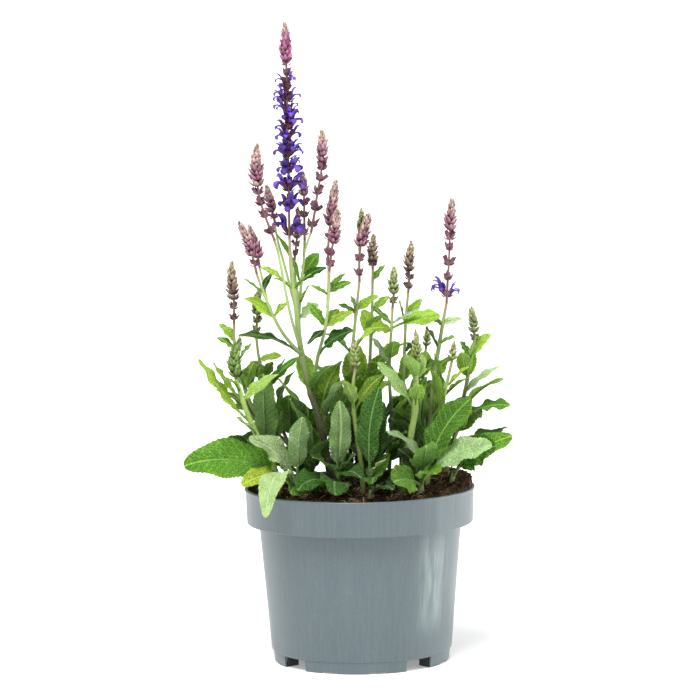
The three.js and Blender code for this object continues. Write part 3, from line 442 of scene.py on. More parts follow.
def leaf_finish():
    leaf = Finish("leaf", Specular_IOR_Level=0.1, Subsurface_Weight=0.4, Subsurface_Scale=0.0016,
                  Subsurface_Radius=(0.7, 1.0, 0.12))
    tint = leaf.attribute("tint")
    phase = leaf.attribute("phase", "Fac")
    phase = leaf.math("MULTIPLY_ADD", leaf.noise(70, 2), VEIN_WANDER, phase)
    net = leaf.node("TexVoronoi", {"Vector": leaf.place(), "Scale": NET_CELLS},
                    feature="DISTANCE_TO_EDGE").outputs["Distance"]
    cell = leaf.span(net, 0.0, 0.22)
    between = leaf.math("ABSOLUTE", leaf.math("SUBTRACT", leaf.math("FRACT", phase), 0.5))
    side_vein = leaf.span(between, 0.5 - VEIN_HALF, 0.5)
    midrib = leaf.span(leaf.attribute("away", "Fac"), 0.35, 0.95, 1, 0)
    vein = leaf.math("MAXIMUM", leaf.times(side_vein, 0.6), midrib)
    mottle = leaf.noise(95, 3)
    deep = leaf.mix(0.62, tint, SHADOW)
    colour = leaf.mix(leaf.span(mottle, 0.32, 0.68, 0, 0.6), tint, deep)
    colour = leaf.mix(leaf.span(cell, 0.5, 1, 0, 0.22), colour, deep)
    colour = leaf.mix(leaf.span(cell, 0, 0.5, 0.6, 0), colour, vein_colour(leaf, tint, *NET))
    colour = leaf.mix(leaf.times(vein, 0.85), colour, vein_colour(leaf, tint, *RIB))
    below = leaf.mix(leaf.times(vein, 0.5), leaf.mix(0.38, colour, UNDERSIDE), VEIN)
    colour = leaf.mix(leaf.attribute("face", "Fac"), colour, below)
    height = leaf.math("SUBTRACT", cell, leaf.times(vein, 0.9))
    return leaf.finish(colour, leaf.span(mottle, 0.2, 0.8, 0.42, 0.62), height, 0.0007, 0.8)


LEAF = leaf_finish()
print("finish:", LEAF.name)

# %% [markdown]
# Stems are pale green, browner low down and towards a spike, with tan blotches, and they carry the
# same painted shade as the leaves. Petals, calyces and bracts carry two colours for each floret,
# one at its base and one at its tip.

# %% Finish: stems, florets and down
STEM_TAN = (0.20, 0.12, 0.085, 1)
FLORET_DARK = (0.02, 0.01, 0.02, 1)
DOWN_GREY, DOWN_WHITE = (0.75, 0.78, 0.66, 1), (0.92, 0.93, 0.88, 1)


def stem_finish():
    stem = Finish("stem", Roughness=0.55, Specular_IOR_Level=0.35)
    blotch = stem.noise(1.0, 4, 0.6, stem.place((260, 260, 60)))
    colour = stem.mix(stem.span(blotch, 0.5, 0.72, 0, 0.35), stem.attribute("tint"), STEM_TAN)
    return stem.finish(colour, None, blotch, 0.0004, 0.5)


def floret_finish():
    floret = Finish("floret", Roughness=0.62, Specular_IOR_Level=0.3)
    along = floret.span(floret.attribute("along", "Fac"), 0.1, 0.95)
    colour = floret.mix(along, floret.attribute("root_tint"), floret.attribute("tip_tint"))
    mottle = floret.noise(700, 3)
    colour = floret.mix(floret.span(mottle, 0.35, 0.7, 0, 0.28), colour, FLORET_DARK)
    return floret.finish(colour, None, mottle, 0.0004, 0.5)


def down_finish():
    down = Finish("down", Roughness=0.6)
    return down.finish(down.mix(down.noise(300), DOWN_GREY, DOWN_WHITE))


STEM, FLORET, DOWN = stem_finish(), floret_finish(), down_finish()
print("finishes:", ", ".join(sorted(material.name for material in bpy.data.materials)))

# %% [markdown]
# The pot turns round its axis, so its wall is a profile carried round a circle. It could be a
# Spin or a Screw modifier; here the rings are computed, which gives the wall its thickness and
# its rounded lip in one closed skin. The notches in the foot are then cut with a Boolean.

# %% The pot's sizes
RIM_RADIUS, RIM_HEIGHT = 85, 129
BAND_FOOT, BAND_FOOT_RADIUS = 103, 83.5
WALL_TOP_RADIUS, WALL_FOOT_RADIUS = 74.8, 66.6
FOOT_HEIGHT, FOOT_TOP_RADIUS, FOOT_RADIUS = 9, 65.6, 64.5
POT_WALL = 1.6
DISH_RADIUS = 12
NOTCH_WIDTH, NOTCH_ANGLES = 23, (-140, -50, 40, 130)
FOOT_GAP_TURNS = (-62, -30)  # shallow gaps under the foot, from each notch
FOOT_GAP_WIDTH, FOOT_GAP_HEIGHT = 12.5, 1.1
END_PLATE, END_SEAT = 10, 3.4  # the plates beside a notch: their length, and how far in they stand
DRAIN_RADIUS, DRAIN_CENTRE, DRAIN_SIDES = 5, 47, 24
POT_SEGMENTS = 160
LIP = 0.9  # the small bead round the rim
ROUNDING = 0.7


def arc(centre, radius, start, stop, steps=4):
    angles = np.radians(np.linspace(start, stop, steps + 1))
    return [(centre[0] + radius * math.cos(a), centre[1] + radius * math.sin(a)) for a in angles]


def pot_profile():
    """The wall's outline, (radius, height), up the outside and down the inside."""
    profile = [(0, 0.0), (DISH_RADIUS - ROUNDING, 0)]
    profile += arc((DISH_RADIUS - ROUNDING, ROUNDING), ROUNDING, -90, -10)
    profile += [(DISH_RADIUS + 4, FOOT_HEIGHT), (FOOT_TOP_RADIUS - POT_WALL, FOOT_HEIGHT)]
    profile += [(FOOT_RADIUS - POT_WALL, 0), (FOOT_RADIUS - 0.4, 0), (FOOT_RADIUS, 0.4)]
    profile += [(FOOT_TOP_RADIUS - 0.1, FOOT_HEIGHT - 0.3), (FOOT_TOP_RADIUS + 0.2, FOOT_HEIGHT)]
    profile += [(WALL_FOOT_RADIUS - 0.2, FOOT_HEIGHT + 0.4)]
    profile += [(WALL_FOOT_RADIUS + 0.1, FOOT_HEIGHT + 1.0)]
    profile += [(WALL_TOP_RADIUS - 0.2, BAND_FOOT - 1.2), (WALL_TOP_RADIUS + 1.0, BAND_FOOT)]
    profile += arc((BAND_FOOT_RADIUS - 0.9, BAND_FOOT + 0.9), 0.9, -90, 0)
    profile += [(RIM_RADIUS - 0.75, RIM_HEIGHT - 3.2), (RIM_RADIUS - 0.5, RIM_HEIGHT - 2.6)]
    profile += arc((RIM_RADIUS - LIP, RIM_HEIGHT - LIP), LIP, -30, 90)
    profile += arc((RIM_RADIUS - POT_WALL, RIM_HEIGHT - 0.5), 0.5, 90, 180)
    profile += [(BAND_FOOT_RADIUS - POT_WALL, BAND_FOOT + POT_WALL)]
    profile += [(WALL_TOP_RADIUS - POT_WALL, BAND_FOOT + POT_WALL)]
    profile += [(WALL_FOOT_RADIUS - POT_WALL, FOOT_HEIGHT + POT_WALL)]
    profile += [(DISH_RADIUS + 3, FOOT_HEIGHT + POT_WALL), (DISH_RADIUS - 1, POT_WALL)]
    return profile + [(0, POT_WALL)]


print("the pot's outline:", len(pot_profile()), "points")


# %% Turning a profile
def turned(profile, segments):
    """A closed skin from an outline that starts and ends on the axis."""
    angle = circle(segments)
    ring = np.stack([np.cos(angle), np.sin(angle)], axis=1)
    rows = [np.column_stack([ring * r, np.full(segments, z)]) for r, z in profile[1:-1]]
    points = np.vstack(rows + [[[0, 0, profile[0][1]], [0, 0, profile[-1][1]]]])
    faces = strip_faces(len(rows), segments, True)[:-2]
    bottom, top = len(points) - 2, len(points) - 1
    last = (len(rows) - 1) * segments
    for k in range(segments):
        faces.append([bottom, (k + 1) % segments, k])
        faces.append([top, last + k, last + (k + 1) % segments])
    return points, faces


def turn_z(angle):
    return Matrix.Rotation(math.radians(angle), 4, "Z")


def box_mesh(bm, size, place, angle, bevel=0):
    """A small box, turned round the pot's axis. A bevel softens its edges."""
    made = bmesh.ops.create_cube(bm, size=1.0)["verts"]
    bmesh.ops.scale(bm, vec=[s * MM for s in size], verts=made)
    bmesh.ops.translate(bm, vec=[p * MM for p in place], verts=made)
    if bevel:
        edges = list({edge for vert in made for edge in vert.link_edges})
        made = bmesh.ops.bevel(bm, geom=edges, offset=bevel * MM, segments=1, affect="EDGES")
        made = made["verts"]
    bmesh.ops.rotate(bm, cent=(0, 0, 0), matrix=turn_z(angle), verts=made)


def written(bm, mesh):
    bm.to_mesh(mesh)
    bm.free()
    return mesh


# %% Building the pot
def cutters():
    """What the Boolean takes away: four notches, four drain holes and the gaps under the foot."""
    bm = bmesh.new()
    notch = (30, NOTCH_WIDTH, FOOT_HEIGHT + 1)
    for angle in NOTCH_ANGLES:
        box_mesh(bm, notch, (FOOT_RADIUS, 0, FOOT_HEIGHT / 2 - 1.2), angle)
        drain = Matrix.Translation((DRAIN_CENTRE * MM, 0, (FOOT_HEIGHT + 1) * MM))
        bmesh.ops.create_cone(bm, cap_ends=True, segments=DRAIN_SIDES, radius1=DRAIN_RADIUS * MM,
                              radius2=DRAIN_RADIUS * MM, depth=0.006, matrix=turn_z(angle) @ drain)
        for turn in FOOT_GAP_TURNS:
            box_mesh(bm, (8, FOOT_GAP_WIDTH, 2 * FOOT_GAP_HEIGHT),
                     (FOOT_RADIUS - POT_WALL / 2, 0, 0), turn + angle)
    return add_object("cutters", written(bm, bpy.data.meshes.new("cutters")))


def pot():
    points, faces = turned(pot_profile(), POT_SEGMENTS)
    piece = add_object("pot_moulding", make_mesh("pot_moulding", points, faces))
    tool = cutters()
    cut = piece.modifiers.new("notches", "BOOLEAN")
    cut.object = tool
    cut.solver = "EXACT"
    graph = bpy.context.evaluated_depsgraph_get()
    mesh = bpy.data.meshes.new_from_object(piece.evaluated_get(graph))
    piece.modifiers.clear()
    bpy.data.objects.remove(tool)
    bm = bmesh.new()
    bm.from_mesh(mesh)
    plate = (END_PLATE, POT_WALL, FOOT_HEIGHT + 0.5)
    for angle in NOTCH_ANGLES:
        for side in (-1, 1):
            place = (FOOT_RADIUS - END_SEAT - END_PLATE / 2, side * (NOTCH_WIDTH + POT_WALL) / 2,
                     plate[2] / 2)
            box_mesh(bm, plate, place, angle, 0.2)
    written(bm, mesh)
    mesh.materials.clear()
    mesh.materials.append(PLASTIC)
    piece.data = mesh
    smooth(mesh)
    mesh.set_sharp_from_angle(angle=math.radians(32))
    return piece


print("pot:", hand_over(pot(), ["pot"]), "triangles")

# %% [markdown]
# The soil's surface is a grid of rings that rises a little in the middle and is heaped against
# the rim at the right. Real soil has no smooth surface, so the grid is moved up and down by
# layered sines, and its crumbs and fibres are separate shapes lying on it.

# %% The soil's surface
SOIL_LEVEL, SOIL_DOME, SOIL_HEAP, SOIL_HEAP_ANGLE = 125, 3, 11, 12
SOIL_RINGS, SOIL_SEGMENTS = 56, 220
SOIL_GAP = 0.3  # between the soil and the pot's wall
SOIL_EDGE = RIM_RADIUS - POT_WALL - 0.5
LUMPS = 1.3
WAVES = ((17, 0.9, 0.4), (9.5, 0.7, 1.9), (5.3, 0.5, 2.7), (3.1, 0.35, 0.9), (1.9, 0.25, 2.2))


def soil_height(radius, angle):
    share = radius / RIM_RADIUS
    heap = np.maximum(0, np.cos(angle - math.radians(SOIL_HEAP_ANGLE))) ** 2
    hump = np.maximum(0, 1 - ((share - 0.84) / 0.3) ** 2)
    return SOIL_LEVEL + SOIL_DOME * (1 - share * share) + SOIL_HEAP * heap * hump


def lumps(x, y):
    """Uneven ground, in millimetres up and down. A wave has a length, a height and a bearing."""
    total = np.zeros_like(x)
    for size, tall, turn in WAVES:
        u = x * math.cos(turn) + y * math.sin(turn)
        v = y * math.cos(turn) - x * math.sin(turn)
        along = np.sin(2 * np.pi * u / size + 1.7 * np.sin(v / size))
        total += tall * along * np.cos(2 * np.pi * v / size + turn)
    return LUMPS * total


def soil():
    angle = circle(SOIL_SEGMENTS)
    inside = POT_WALL + SOIL_GAP
    rings = [(WALL_FOOT_RADIUS - inside, FOOT_HEIGHT + inside),
             (WALL_TOP_RADIUS - inside, BAND_FOOT + inside),
             (BAND_FOOT_RADIUS - inside, BAND_FOOT + inside + SOIL_GAP),
             (SOIL_EDGE, SOIL_LEVEL - 3)]
    rings = [(radius, np.full(SOIL_SEGMENTS, height)) for radius, height in rings]
    for radius in np.linspace(SOIL_EDGE, 0.8, SOIL_RINGS):
        height = soil_height(radius, angle) + lumps(radius * np.cos(angle), radius * np.sin(angle))
        rings.append((radius, height))
    points = np.vstack([np.column_stack([radius * np.cos(angle), radius * np.sin(angle), height])
                        for radius, height in rings])
    faces = strip_faces(len(rings), SOIL_SEGMENTS, True)
    return add_object("soil_surface", make_mesh("soil_surface", points, faces), PEAT)


ground = soil()
print("soil:", hand_over(ground, ["soil"]), "triangles")

# %% [markdown]
# Crumbs and fibres repeat, so Geometry Nodes scatter them: a tree takes the ground, spreads
# points over its upper faces, puts a shape on each with its own turn and size, and makes the
# result real. The same tree serves both, with another shape, density and size.


# %% Helpers: node trees that grow things
class Growth(Nodes):
    """A geometry tree. Its inputs are (name, type), with a value where it has one."""

    def __init__(self, name, *inputs):
        self.tree = bpy.data.node_groups.new(name, "GeometryNodeTree")
        sockets = self.tree.interface
        for label, kind, *value in inputs:
            made = sockets.new_socket(label, in_out="INPUT", socket_type="NodeSocket" + kind)
            if value:
                made.default_value = value[0]
        sockets.new_socket("Geometry", in_out="OUTPUT", socket_type="NodeSocketGeometry")
        self.start = self.node("NodeGroupInput").outputs

    def attribute(self, name, kind):
        made = self.node("GeometryNodeInputNamedAttribute", {"Name": name}, data_type=kind)
        return made.outputs["Attribute"]

    def scaled(self, vector, scale):
        inputs = {0: vector, "Scale": scale}
        return self.node("ShaderNodeVectorMath", inputs, operation="SCALE").outputs[0]

    def planted(self, points, shape, turn, size, material, **more):
        """Stands a shape on each point, makes the result real, and ends the tree with it."""
        inputs = {"Points": points, "Instance": shape, "Rotation": turn, "Scale": size}
        inputs.update({label.replace("_", " "): value for label, value in more.items()})
        put = self.node("GeometryNodeInstanceOnPoints", inputs).outputs[0]
        real = self.node("GeometryNodeRealizeInstances", {0: put}).outputs[0]
        paint = self.node("GeometryNodeSetMaterial", {"Geometry": real, "Material": material})
        self.node("NodeGroupOutput", {0: paint.outputs[0]})
        return self.tree


# %% A tree that scatters a shape
def scatter_tree(name, material):
    """Scatters a shape over the faces that are marked as open ground."""
    tree = Growth(name, ("Surface", "Geometry"), ("Shape", "Object"), ("Density", "Float", 1000.0),
                  ("Smallest", "Float", 0.5), ("Largest", "Float", 1.0), ("Tilt", "Float", 1.0),
                  ("Seed", "Int", 1))
    given = tree.start
    spread = tree.node("GeometryNodeDistributePointsOnFaces", {
        "Mesh": given["Surface"], "Density": given["Density"], "Seed": given["Seed"],
        "Selection": tree.attribute("open_ground", "BOOLEAN")}).outputs
    shape = tree.node("GeometryNodeObjectInfo", {"Object": given["Shape"]}).outputs["Geometry"]
    wide = tree.node("ShaderNodeCombineXYZ", {0: given["Tilt"], 1: given["Tilt"], 2: math.pi})
    wide = wide.outputs[0]
    turn = tree.node("FunctionNodeRandomValue", {
        0: tree.scaled(wide, -1), 1: wide, "Seed": given["Seed"]}, data_type="FLOAT_VECTOR")
    size = tree.node("FunctionNodeRandomValue", {
        2: given["Smallest"], 3: given["Largest"], "Seed": given["Seed"]}, data_type="FLOAT")
    lay = tree.node("FunctionNodeRotateRotation", {0: spread["Rotation"], 1: turn.outputs[0]},
                    rotation_space="LOCAL")
    return tree.planted(spread["Points"], shape, lay.outputs[0], size.outputs[1], material)


# %% Running a tree, and keeping its result as a plain mesh
def grown(name, base_mesh, tree, material, **inputs):
    """An object made by a node tree on a base mesh. Input names use _ for a space."""
    carrier = add_object(name, base_mesh)
    modifier = carrier.modifiers.new(name, "NODES")
    modifier.node_group = tree
    sockets = {item.name: item.identifier for item in tree.interface.items_tree}
    for label, value in inputs.items():
        modifier[sockets[label.replace("_", " ")]] = value
    graph = bpy.context.evaluated_depsgraph_get()
    mesh = bpy.data.meshes.new_from_object(carrier.evaluated_get(graph))
    carrier.modifiers.clear()
    mesh.materials.clear()
    mesh.materials.append(material)
    carrier.data = mesh
    return carrier


def pebble(name, jag, seed):
    bm = bmesh.new()
    bmesh.ops.create_icosphere(bm, subdivisions=1, radius=MM)
    local = np.random.default_rng(seed)
    for vert in bm.verts:
        vert.co *= float(1 + jag * (local.random() - 0.5))
        vert.co.z *= 0.7
    return bpy.data.objects.new(name, written(bm, bpy.data.meshes.new(name)))


def splinter(name, long, thick, bend, rows=7):
    """A thin bent fibre, three-sided, lying along X."""
    points = []
    for i in range(rows):
        s = i / (rows - 1)
        radius = thick * (0.25 + math.sin(math.pi * s) ** 0.5)
        bow = bend * math.sin(math.pi * s), 0.3 * bend * math.sin(2 * math.pi * s)
        centre = np.array([long * (s - 0.5), *bow])
        for k in range(3):
            a = 2 * math.pi * k / 3
            points.append(centre + [0, radius * math.cos(a), radius * math.sin(a)])
    return bpy.data.objects.new(name, make_mesh(name, points, strip_faces(rows, 3, True)))


# %% Crumbs and fibres
CRUMB_DENSITY, FIBRE_DENSITY = 150000.0, 32000.0  # to the square metre
CRUMB_REACH, FIBRE_REACH = 90, 72  # a fibre is long, and keeps off the pot's wall


def marked(mesh, test):
    """The same mesh, with the faces marked on which things may be scattered."""
    layer = mesh.attributes.new("open_ground", "BOOLEAN", "FACE")
    layer.data.foreach_set("value", [test(face) for face in mesh.polygons])
    return mesh


def open_ground(reach):
    """A copy of the soil whose upper faces are marked, out to a reach."""
    return marked(ground.data.copy(), lambda face: face.normal.z > 0.25
                  and face.center.z > (SOIL_LEVEL - 4) * MM and face.center.xy.length < reach * MM)


def scattered(name, material, base_mesh, **inputs):
    return grown(name, base_mesh, scatter_tree(name, material), material, **inputs)


crumbs = scattered("soil_crumbs", PEAT, open_ground(CRUMB_REACH), Shape=pebble("crumb", 0.7, 3),
                   Density=CRUMB_DENSITY, Smallest=0.35, Largest=1.7, Tilt=3.0, Seed=11)
fibres = scattered("soil_fibres", FIBRE, open_ground(FIBRE_REACH),
                   Shape=splinter("fibre", 9, 0.16, 1.6),
                   Density=FIBRE_DENSITY, Smallest=0.4, Largest=1.5, Tilt=0.5, Seed=12)
print("crumbs:", hand_over(crumbs, []))
print("fibres:", hand_over(fibres, []))

# %% [markdown]
# How the plant grows. These tables and rules are the ones that shaped the model's solids: each
# stem is a list of points; each leaf has a stem, the height where it leaves it, its tip, its
# width, its lean and its arch. A leaf that would touch another is turned until it is clear. A
# last value, here alone, gives the leaf its colour. The tables are plain text, one line for each
# row, and a short function reads them.


# %% Helpers: tables
def table(text):
    """A list of words and numbers for each line. A line that ends in a backslash goes on."""
    return [[word if word[0].isalpha() else float(word) for word in line.split()]
            for line in text.strip().splitlines()]


print("a row:", table("name 1 2.5"))

# %% The stems
STEM_ROWS = table("""
main stem_main 3.6 1.7  -20 -4 112  -21 -4 133  -24 -4 153  -28 -3 175  -35 -2 199  -40 0 221 \
     -43 0 239  -45 0 264  -48 0 290  -49 0 313
mainLeft stem_main 1.3 1.0  -42 -1 231  -48 -6 253  -52 -9 273  -57 -11 302  -60 -12 313
mainBehind stem_main 1.2 0.9  -46 1 264  -52 8 288  -58 12 311  -60 13 325
mainRight stem_main 1.4 1.0  -42 0 234  -43 8 253  -41 10 279  -39 10 294  -38 10 311
mainRightTall stem_main 1.1 0.9  -39 10 300  -36 8 309  -33 8 317
mainBack stem_main 1.1 0.9  -42 9 262  -45 15 279  -46 17 294
lowLeft stem_main 1.5 1.0  -41 -1 227  -52 -8 240  -60 -14 254  -68 -18 274  -73 -20 289
lowLeftSide stem_main 1.1 0.9  -66 -17 270  -69 -10 283  -71 -7 292
lowRight stem_main 1.6 1.1  -34 -2 196  -30 -3 223  -26 -5 238  -23 -6 251  -21 -7 268 \
     -20 -8 289
lowRightSide stem_main 1.1 0.9  -22 -7 262  -21 0 281  -21 3 297
centre stem_centre 2.2 1.1  -6 5 112  -6 5 140  -7 8 166  -7 10 192  -5 12 220  -1 12 255 \
     2 12 280
centreSide stem_centre 0.9 0.8  -2 12 250  2 19 283  2 21 306  3 21 315
back stem_back 2.0 1.1  6 25 112  6 25 140  7 28 174  9 30 219  11 32 253  12 32 287
inner stem_right_inner 2.0 1.0  31 15 112  31 15 138  32 20 175  34 22 212  36 22 250  38 22 270
middle stem_middle 2.0 0.9  21 0 112  22 0 139  24 5 177  23 6 214  25 6 245  26 6 260
tall stem_right_tall 2.4 1.3  47 5 112  48 5 140  52 8 169  56 10 206  62 10 242  66 10 263
far stem_far_right 2.1 1.1  60 10 112  64 10 137  73 12 172  80 12 202  83 12 220  86 12 231
left stem_left 2.1 1.1  -49 10 112  -52 10 134  -67 10 163  -81 10 193  -88 10 219  -91 10 237 \
     -91 10 250
leftBack stem_left_back 2.0 1.1  -42 24 112  -43 24 134  -54 22 162  -67 19 195  -73 17 222 \
     -75 16 239
leftLow stem_left_low 3.1 1.6  -58 -25 112  -61 -25 142  -71 -27 163  -80 -28 184  -85 -28 199 \
     -89 -28 213
young stem_front_young 2.0 1.2  2 -26 112  2 -28 140  -2 -28 174  -4 -28 193  -4 -28 207 \
     -2 -28 220
youngRight stem_right_young 3.4 1.6  30 -24 112  32 -25 144  37 -26 166  41 -26 187  42 -26 207 \
     43 -26 222
rightShoot stem_right_leafy 2.1 1.2  50 -8 112  51 -8 141  59 -8 178  64 -8 201  69 -8 222
backShoot stem_back_leafy 1.9 1.0  38 32 112  39 32 136  45 34 174  49 34 211  51 34 228
tuftLeft leaves_left 4.2 3.0  -66 -8 113  -67 -8 124  -68 -8 134
tuftFrontLeft leaves_front_left 4.5 3.2  -44 -32 113  -45 -34 124  -46 -36 136
tuftFront leaves_front 4.5 3.2  -16 -34 113  -16 -35 124  -16 -36 136
tuftMiddle leaves_front_middle 4.2 3.0  8 -52 113  8 -52 124  8 -52 136
tuftFrontRight leaves_front_right 4.5 3.2  44 -44 114  44 -44 126  45 -44 140
tuftRight leaves_right 4.5 3.2  66 -22 116  67 -22 128  68 -22 142
tuftInnerLeft leaves_inner_left 4.2 3.0  -36 -13 113  -36 -13 124  -36 -13 136
tuftInnerMiddle leaves_inner_middle 4.2 3.0  8 -13 113  8 -13 124  8 -13 136
tuftInnerRight leaves_inner_right 4.2 3.0  46 19 114  46 19 126  46 19 140
tuftBackRight leaves_back_right 4.2 3.0  52 44 116  52 45 128  53 45 142
tuftBack leaves_back 4.4 3.2  6 54 113  6 55 124  6 56 136
tuftBackLeft leaves_back_left 4.2 3.0  -38 46 113  -39 47 124  -40 48 136
""")
STEM_POINTS = {name: (node, foot, top, np.reshape(points, (-1, 3)))
               for name, node, foot, top, *points in STEM_ROWS}
print("stems:", len(STEM_POINTS))

# %% Leaf colours
# The dark green stands partly for painted shade deep in the clump, and the bright one partly for
# the painted glow of leaves lit through from behind.
GREENS = {
    "dark": (0.024, 0.080, 0.010),
    "mid": (0.100, 0.235, 0.020),
    "bright": (0.255, 0.450, 0.040),
    "pale": (0.360, 0.530, 0.235),
    "lime": (0.420, 0.560, 0.240),
    "old": (0.330, 0.440, 0.050),
}

# %% Broad leaves on long stalks
BROAD = table("""
main 226 -87 -22 246 13 20 0.1 dark
lowRight 226 -3 -14 247 15 45 0.1 dark
middle 245 61 -2 255 15 40 0.06 bright
middle 216 26 -12 238 12 0 0.1 bright
tall 228 50 2 246 11 35 0.1 dark
rightShoot 219 72 -18 243 14 60 0.2 bright
youngRight 206 38 -34 234 13 10 0.06 pale
youngRight 204 49 -21 230 13 -10 0.06 pale
youngRight 187 14 -30 224 12 50 0.05 pale
youngRight 190 43 -38 213 12 0 0.05 bright
young 186 20 -25 215 13 40 0.08 dark
young 188 -10 -38 212 12 0 0.06 pale
young 178 11 -41 200 12 30 0.06 mid
tuftMiddle 134 22 -46 208 20 35 0.05 dark
tuftMiddle 132 8 -46 201 14 20 0.04 dark
tuftFront 134 -14 -46 199 17 0 0.05 pale
tuftFrontRight 136 82 -34 199 26 35 0.06 mid
tuftRight 138 113 -6 166 20 40 0.12 mid
tuftRight 136 100 -30 161 29 55 0.14 dark
tuftFrontRight 138 88 -50 178 22 45 0.1 pale
tuftFrontRight 134 24 -72 143 25 55 0.1 mid
tuftMiddle 136 18 -66 157 14 30 0.14 pale
tuftFrontRight 138 20 -50 176 14 25 0.2 pale
far 176 112 4 187 17 15 0.1 mid
tuftFront 132 -18 -74 134 24 20 0.2 dark
tuftFront 136 -34 -58 160 22 25 0.12 dark
tuftFrontLeft 134 -41 -49 188 18 10 0.05 pale
tuftFrontLeft 134 -80 -52 174 24 50 0.14 pale
tuftLeft 132 -95 -26 171 18 40 0.14 dark
tuftFrontLeft 132 -128 -44 154 31 60 0.14 mid
tuftFrontLeft 128 -50 -72 135 17 40 0.14 mid
tuftFrontLeft 130 -68 -92 120 19 0 0.38 lime
tuftFront 130 -44 -70 144 21 30 0.16 dark
main 170 -6 -34 214 14 20 0.08 pale
leftLow 180 -116 -38 231 14 35 -0.04 bright
leftLow 196 -106 -24 227 11 30 -0.03 dark
leftLow 170 -92 -38 192 14 20 0.08 pale
tuftLeft 130 -68 -10 219 21 20 0.03 dark
tuftFrontRight 138 48 -70 168 22 20 0.12 mid
tuftFront 138 -4 -58 168 20 20 0.1 dark
tuftInnerMiddle 134 12 -30 192 22 20 0.08 dark
tuftInnerLeft 134 -50 -32 200 22 20 0.08 dark
tuftFrontLeft 136 -70 -46 186 20 30 0.1 mid
tuftInnerLeft 134 -26 -28 176 22 10 0.1 dark
tuftInnerRight 138 62 -6 196 24 20 0.08 mid
tuftInnerMiddle 134 34 -22 178 22 20 0.12 dark
tuftFront 134 8 -66 146 20 20 0.24 dark
tuftFront 136 -30 -60 174 18 40 0.12 mid
tuftMiddle 134 -8 -74 150 16 20 0.2 dark
tuftMiddle 135 36 -64 166 16 30 0.16 bright
tuftFrontLeft 130 -84 -64 147 18 30 0.2 old
tuftFrontRight 134 62 -68 148 20 20 0.2 mid
tuftFrontRight 136 22 -30 170 20 30 0.12 dark
tuftInnerMiddle 136 -14 -36 178 22 10 0.1 dark
tuftInnerRight 136 26 -8 192 22 20 0.1 dark
""")  # stem, height, tip, width, lean, arch, colour
print("broad leaves:", len(BROAD))

# %% Narrow leaves, almost stalkless
NARROW = table("""
mainRight 278 -68 -12 309 8 30 0.05 mid
mainRight 280 -22 14 291 8 40 0.05 dark
mainRight 284 -22 28 300 11 60 0.05 mid
mainLeft 283 -72 -20 294 7 50 0.05 bright
mainRight 253 -28 -2 264 11 60 0.05 pale
mainRight 264 -36 -4 280 7 40 0.05 bright
lowLeft 275 -80 -26 291 5 30 0.02 mid
lowLeft 276 -60 -14 290 5 30 0.02 dark
lowLeft 256 -74 -27 277 12 50 0.05 bright
lowLeft 257 -50 -24 268 9 50 0.05 bright
lowRight 248 -35 -12 269 10 60 0.05 mid
lowRight 248 -3 -10 260 10 45 0.05 bright
lowRight 250 -11 4 262 8 40 0.05 bright
lowRight 246 -37 -16 237 7 20 0.05 dark
lowRightSide 273 -4 -2 281 7 50 0.03 mid
lowRight 272 -34 -10 279 5 30 0.02 mid
lowRightSide 275 -5 8 287 5 30 0.02 mid
centre 257 -4 3 270 7 40 0.05 pale
centre 256 -12 6 267 7 40 0.05 mid
centre 258 16 8 270 9 50 0.05 bright
back 255 24 28 267 8 50 0.05 bright
back 276 8 28 292 9 50 0.05 bright
back 278 18 34 293 6 50 0.05 mid
middle 248 11 10 262 6 30 0.02 mid
middle 249 47 2 260 6 30 0.02 pale
middle 244 9 -6 246 11 50 0.05 bright
middle 218 17 2 242 9 30 0.02 pale
inner 226 46 14 235 9 40 0.05 dark
inner 246 32 16 267 8 50 0.05 bright
inner 248 45 20 268 8 50 0.05 bright
tall 247 54 2 252 8 40 0.05 dark
tall 248 75 4 255 8 40 0.05 pale
tall 233 72 2 239 6 30 0.05 mid
rightShoot 196 56 -14 230 10 20 0.02 bright
rightShoot 199 66 -2 232 10 20 0.02 bright
rightShoot 203 77 -12 223 9 20 0.02 bright
rightShoot 184 57 -18 218 11 20 0.05 dark
youngRight 188 55 -16 210 10 20 0.05 mid
young 207 4 -32 224 10 60 0.05 lime
young 208 -9 -26 220 8 60 0.05 bright
far 196 105 10 216 9 30 0.05 pale
far 219 77 8 236 10 50 0.05 mid
far 221 93 4 244 7 50 0.05 mid
far 222 99 18 240 9 50 0.05 bright
leftLow 197 -58 -34 217 11 50 0.05 pale
leftLow 203 -101 -36 214 7 40 0.1 dark
left 230 -104 4 240 8 40 0.1 mid
left 236 -99 8 252 9 50 0.1 bright
left 222 -78 2 236 8 40 0.05 mid
leftBack 222 -56 8 226 9 40 0.05 bright
leftBack 196 -56 8 226 10 40 0.05 mid
leftBack 200 -46 16 226 9 40 0.05 mid
left 196 -70 0 224 10 40 0.05 mid
""")  # stem, height, tip, width, lean, arch, colour
print("narrow leaves:", len(NARROW))

# %% Crossed pairs, and tufts from the ground
PAIRED = table("""
main 120 150 204 24 66 25 40 15
main 60 246 290 28 28 10 20 7
centre 70 148 232 26 66 25 28 12
back 20 152 240 28 66 24 28 12
inner 60 150 212 26 60 23 34 13
middle 100 150 206 26 58 22 34 13
tall 40 152 222 26 60 22 30 12
far 80 156 206 25 56 20 30 12
left 60 150 212 25 58 22 28 11
leftBack 120 152 220 26 60 22 28 11
backShoot 90 152 210 26 54 20 28 12
""")  # stem, bearing, lowest, highest, step, length and width low down and at the top

